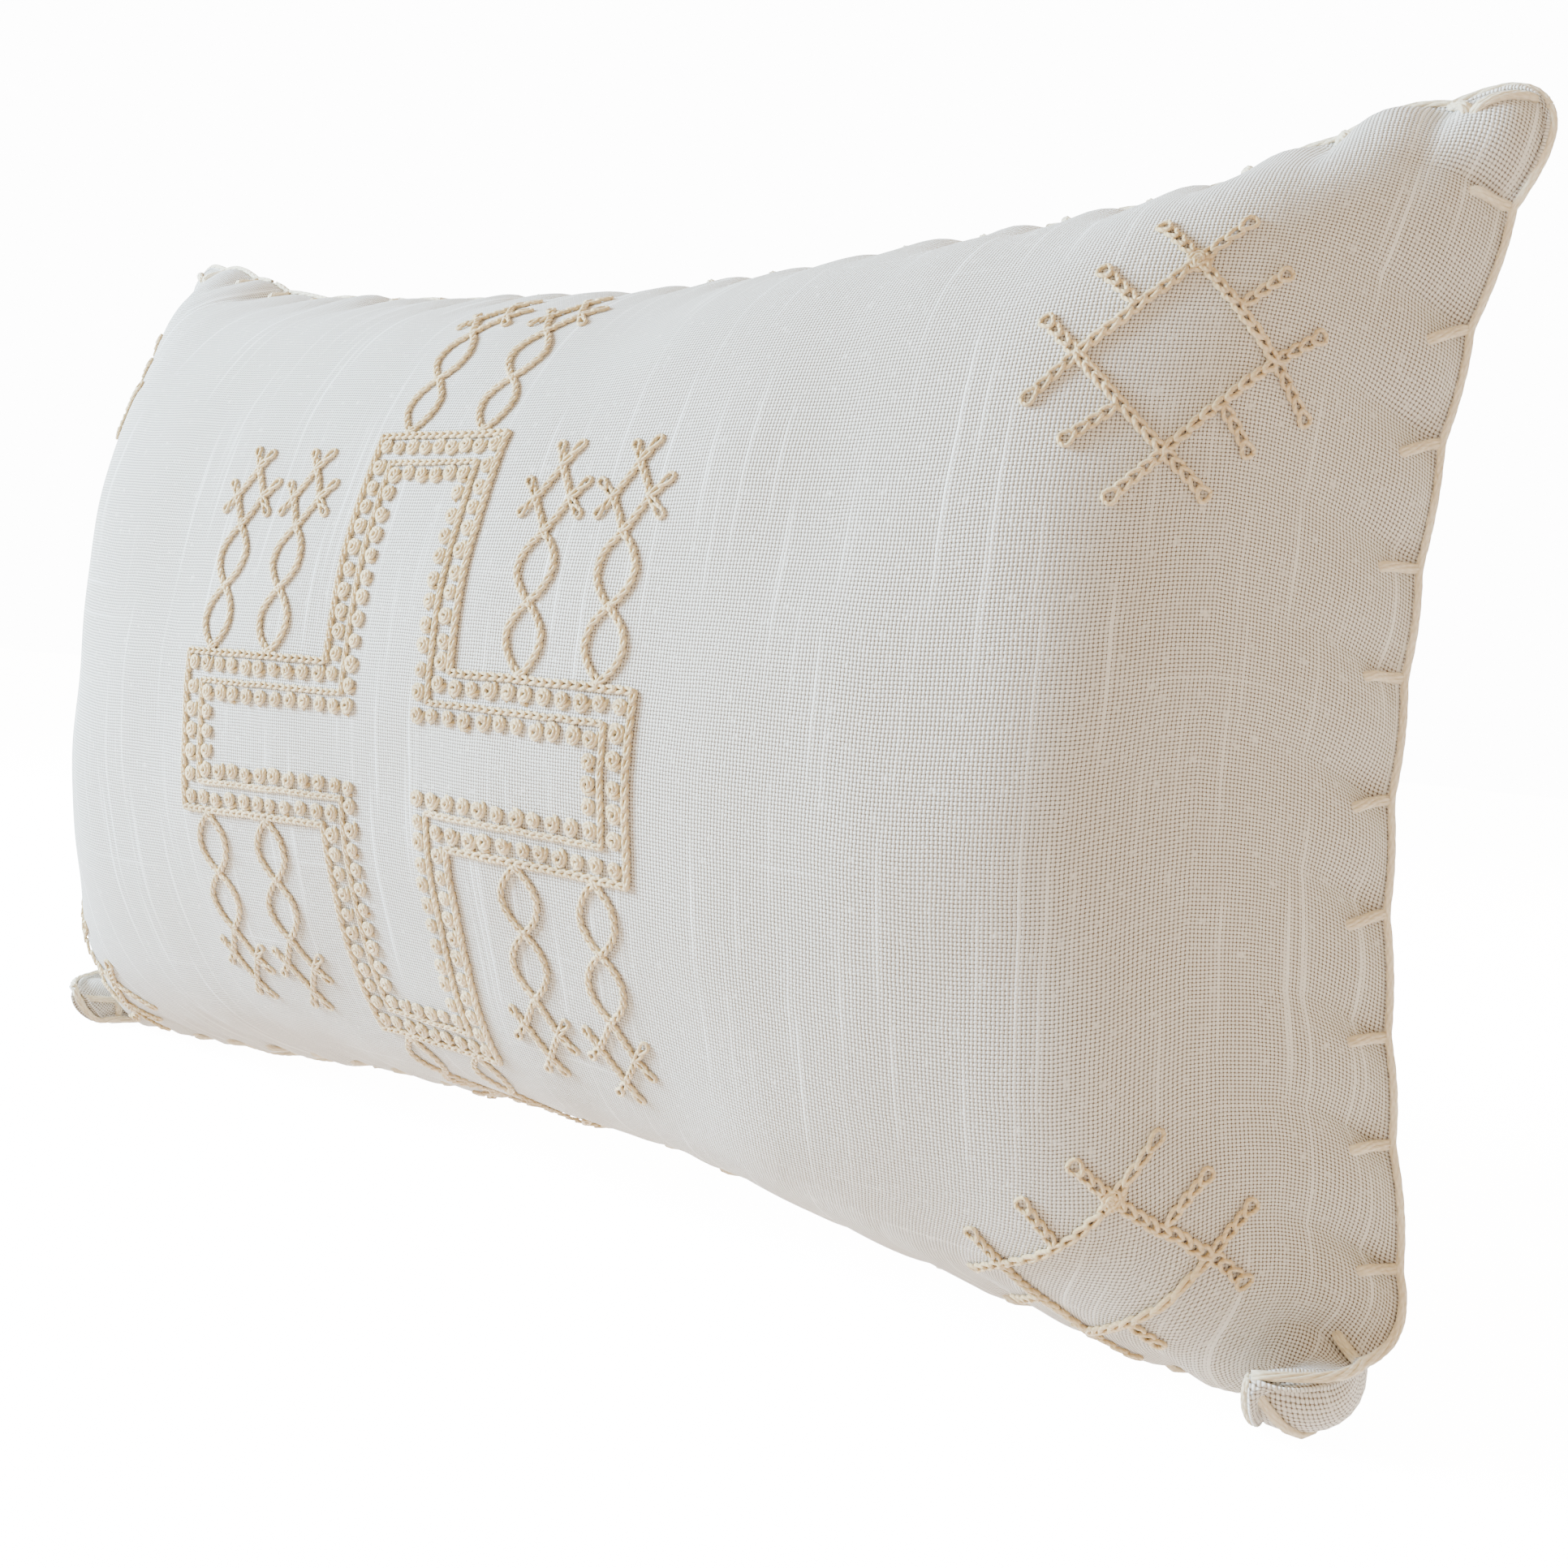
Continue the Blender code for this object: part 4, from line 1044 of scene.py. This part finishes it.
def metal_parts():
    """The CAD's zip parts keep their shape, with softened edges and nickel."""
    for name in ("zipper_slider", "zipper_pull_tab", "zipper_stop_closed", "zipper_stop_open"):
        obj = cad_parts[name]
        bevel = obj.modifiers.new("softened", "BEVEL")
        bevel.width = 0.00018
        bevel.segments = 3
        bevel.limit_method = "ANGLE"
        obj.material_slots[0].material = NICKEL
    for name in ("zipper_tape_upper", "zipper_tape_lower"):
        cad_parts[name].material_slots[0].material = TAPE


# ------------------------------------------------ stage
CAMERA_PLACE = Vector((0.340, -0.354, 0.132))
CAMERA_YAW = 0.670
CAMERA_PITCH = -0.045
CAMERA_ROLL = 0.095
CAMERA_LENS = 40.3
FLOOR_GLOW = 14.0                        # the floor and backdrop are a white sweep
ROOM_LIGHT = 1.30
ROOM_COLOUR = (1.0, 0.79, 0.55, 1)
LIGHT_AIM = (0, 0, 0.12)


def camera():
    data = bpy.data.cameras.new("camera")
    data.lens = CAMERA_LENS
    data.sensor_width = 36.0
    data.clip_start = 0.01
    obj = in_scene("camera", data)
    turn = Euler((math.pi / 2 + CAMERA_PITCH, 0, CAMERA_YAW), "XYZ").to_matrix()
    roll = Euler((0, 0, CAMERA_ROLL), "XYZ").to_matrix()
    obj.matrix_world = (turn @ roll).to_4x4()
    obj.location = CAMERA_PLACE
    bpy.context.scene.camera = obj


def area_light(name, place, aim, size, power, colour):
    data = bpy.data.lights.new(name, "AREA")
    data.shape = "DISK"
    data.size = size
    data.energy = power
    data.color = colour
    obj = in_scene(name, data)
    obj.location = place
    obj.rotation_euler = (Vector(aim) - Vector(place)).to_track_quat("-Z", "Y").to_euler()


def stage():
    """The white floor and backdrop, the warm room and the two lights."""
    bm = bmesh.new()
    bmesh.ops.create_grid(bm, x_segments=4, y_segments=4, size=12.0)
    mesh = bpy.data.meshes.new("floor")
    bm.to_mesh(mesh)
    bm.free()
    floor = in_scene("floor", mesh)
    floor.location.z = -0.0002
    floor.visible_diffuse = False
    sh = Shader("floor_paper", 0.9, Emission_Color=(1.0, 1.0, 1.0, 1.0), Emission_Strength=FLOOR_GLOW)
    tone = sh.noise(sh.place(), 3.0)
    mesh.materials.append(sh.finish(sh.mix(tone, (0.93, 0.93, 0.93, 1), (0.96, 0.96, 0.955, 1))))
    world = bpy.data.worlds.new("studio")
    world.use_nodes = True
    tree = world.node_tree
    surround = tree.nodes["Background"]
    surround.inputs[0].default_value = ROOM_COLOUR
    surround.inputs[1].default_value = ROOM_LIGHT
    backdrop = tree.nodes.new("ShaderNodeBackground")
    backdrop.inputs[0].default_value = (1.0, 1.0, 1.0, 1)
    backdrop.inputs[1].default_value = FLOOR_GLOW
    choose = tree.nodes.new("ShaderNodeMixShader")
    tree.links.new(tree.nodes.new("ShaderNodeLightPath").outputs["Is Camera Ray"], choose.inputs[0])
    tree.links.new(surround.outputs[0], choose.inputs[1])
    tree.links.new(backdrop.outputs[0], choose.inputs[2])
    tree.links.new(choose.outputs[0], tree.nodes["World Output"].inputs[0])
    bpy.context.scene.world = world
    area_light("window", (-1.0, -0.75, 0.6), LIGHT_AIM, size=0.7, power=122, colour=(0.56, 0.79, 1.0))
    area_light("rear", (0.3, 1.6, 1.5), LIGHT_AIM, size=1.4, power=30, colour=(1.0, 0.98, 0.95))


def build():
    camera()
    stage()
    cover = front_cover()
    upper = back_cover("cover_back_upper", 1, "back_panel_upper")
    lower = back_cover("cover_back_lower", -1, "back_panel_lower")
    insert = closed_pillow("insert_pillow", CASING_INSET, 0.0, CASING,
                           ["insert_casing_front", "insert_casing_back"])
    core = closed_pillow("fibre_core", FIBRE_INSET, FIBRE_LUMPS, FIBRE,
                         ["fibre_fill"])
    embroidery()
    blanket_stitch()
    zip_teeth("zipper_teeth_upper", 1, "zipper_coil_upper")
    zip_teeth("zipper_teeth_lower", -1, "zipper_coil_lower")
    hem_stitches("hem_stitches_upper", 1)
    hem_stitches("hem_stitches_lower", -1)
    label = care_label()
    metal_parts()


build()
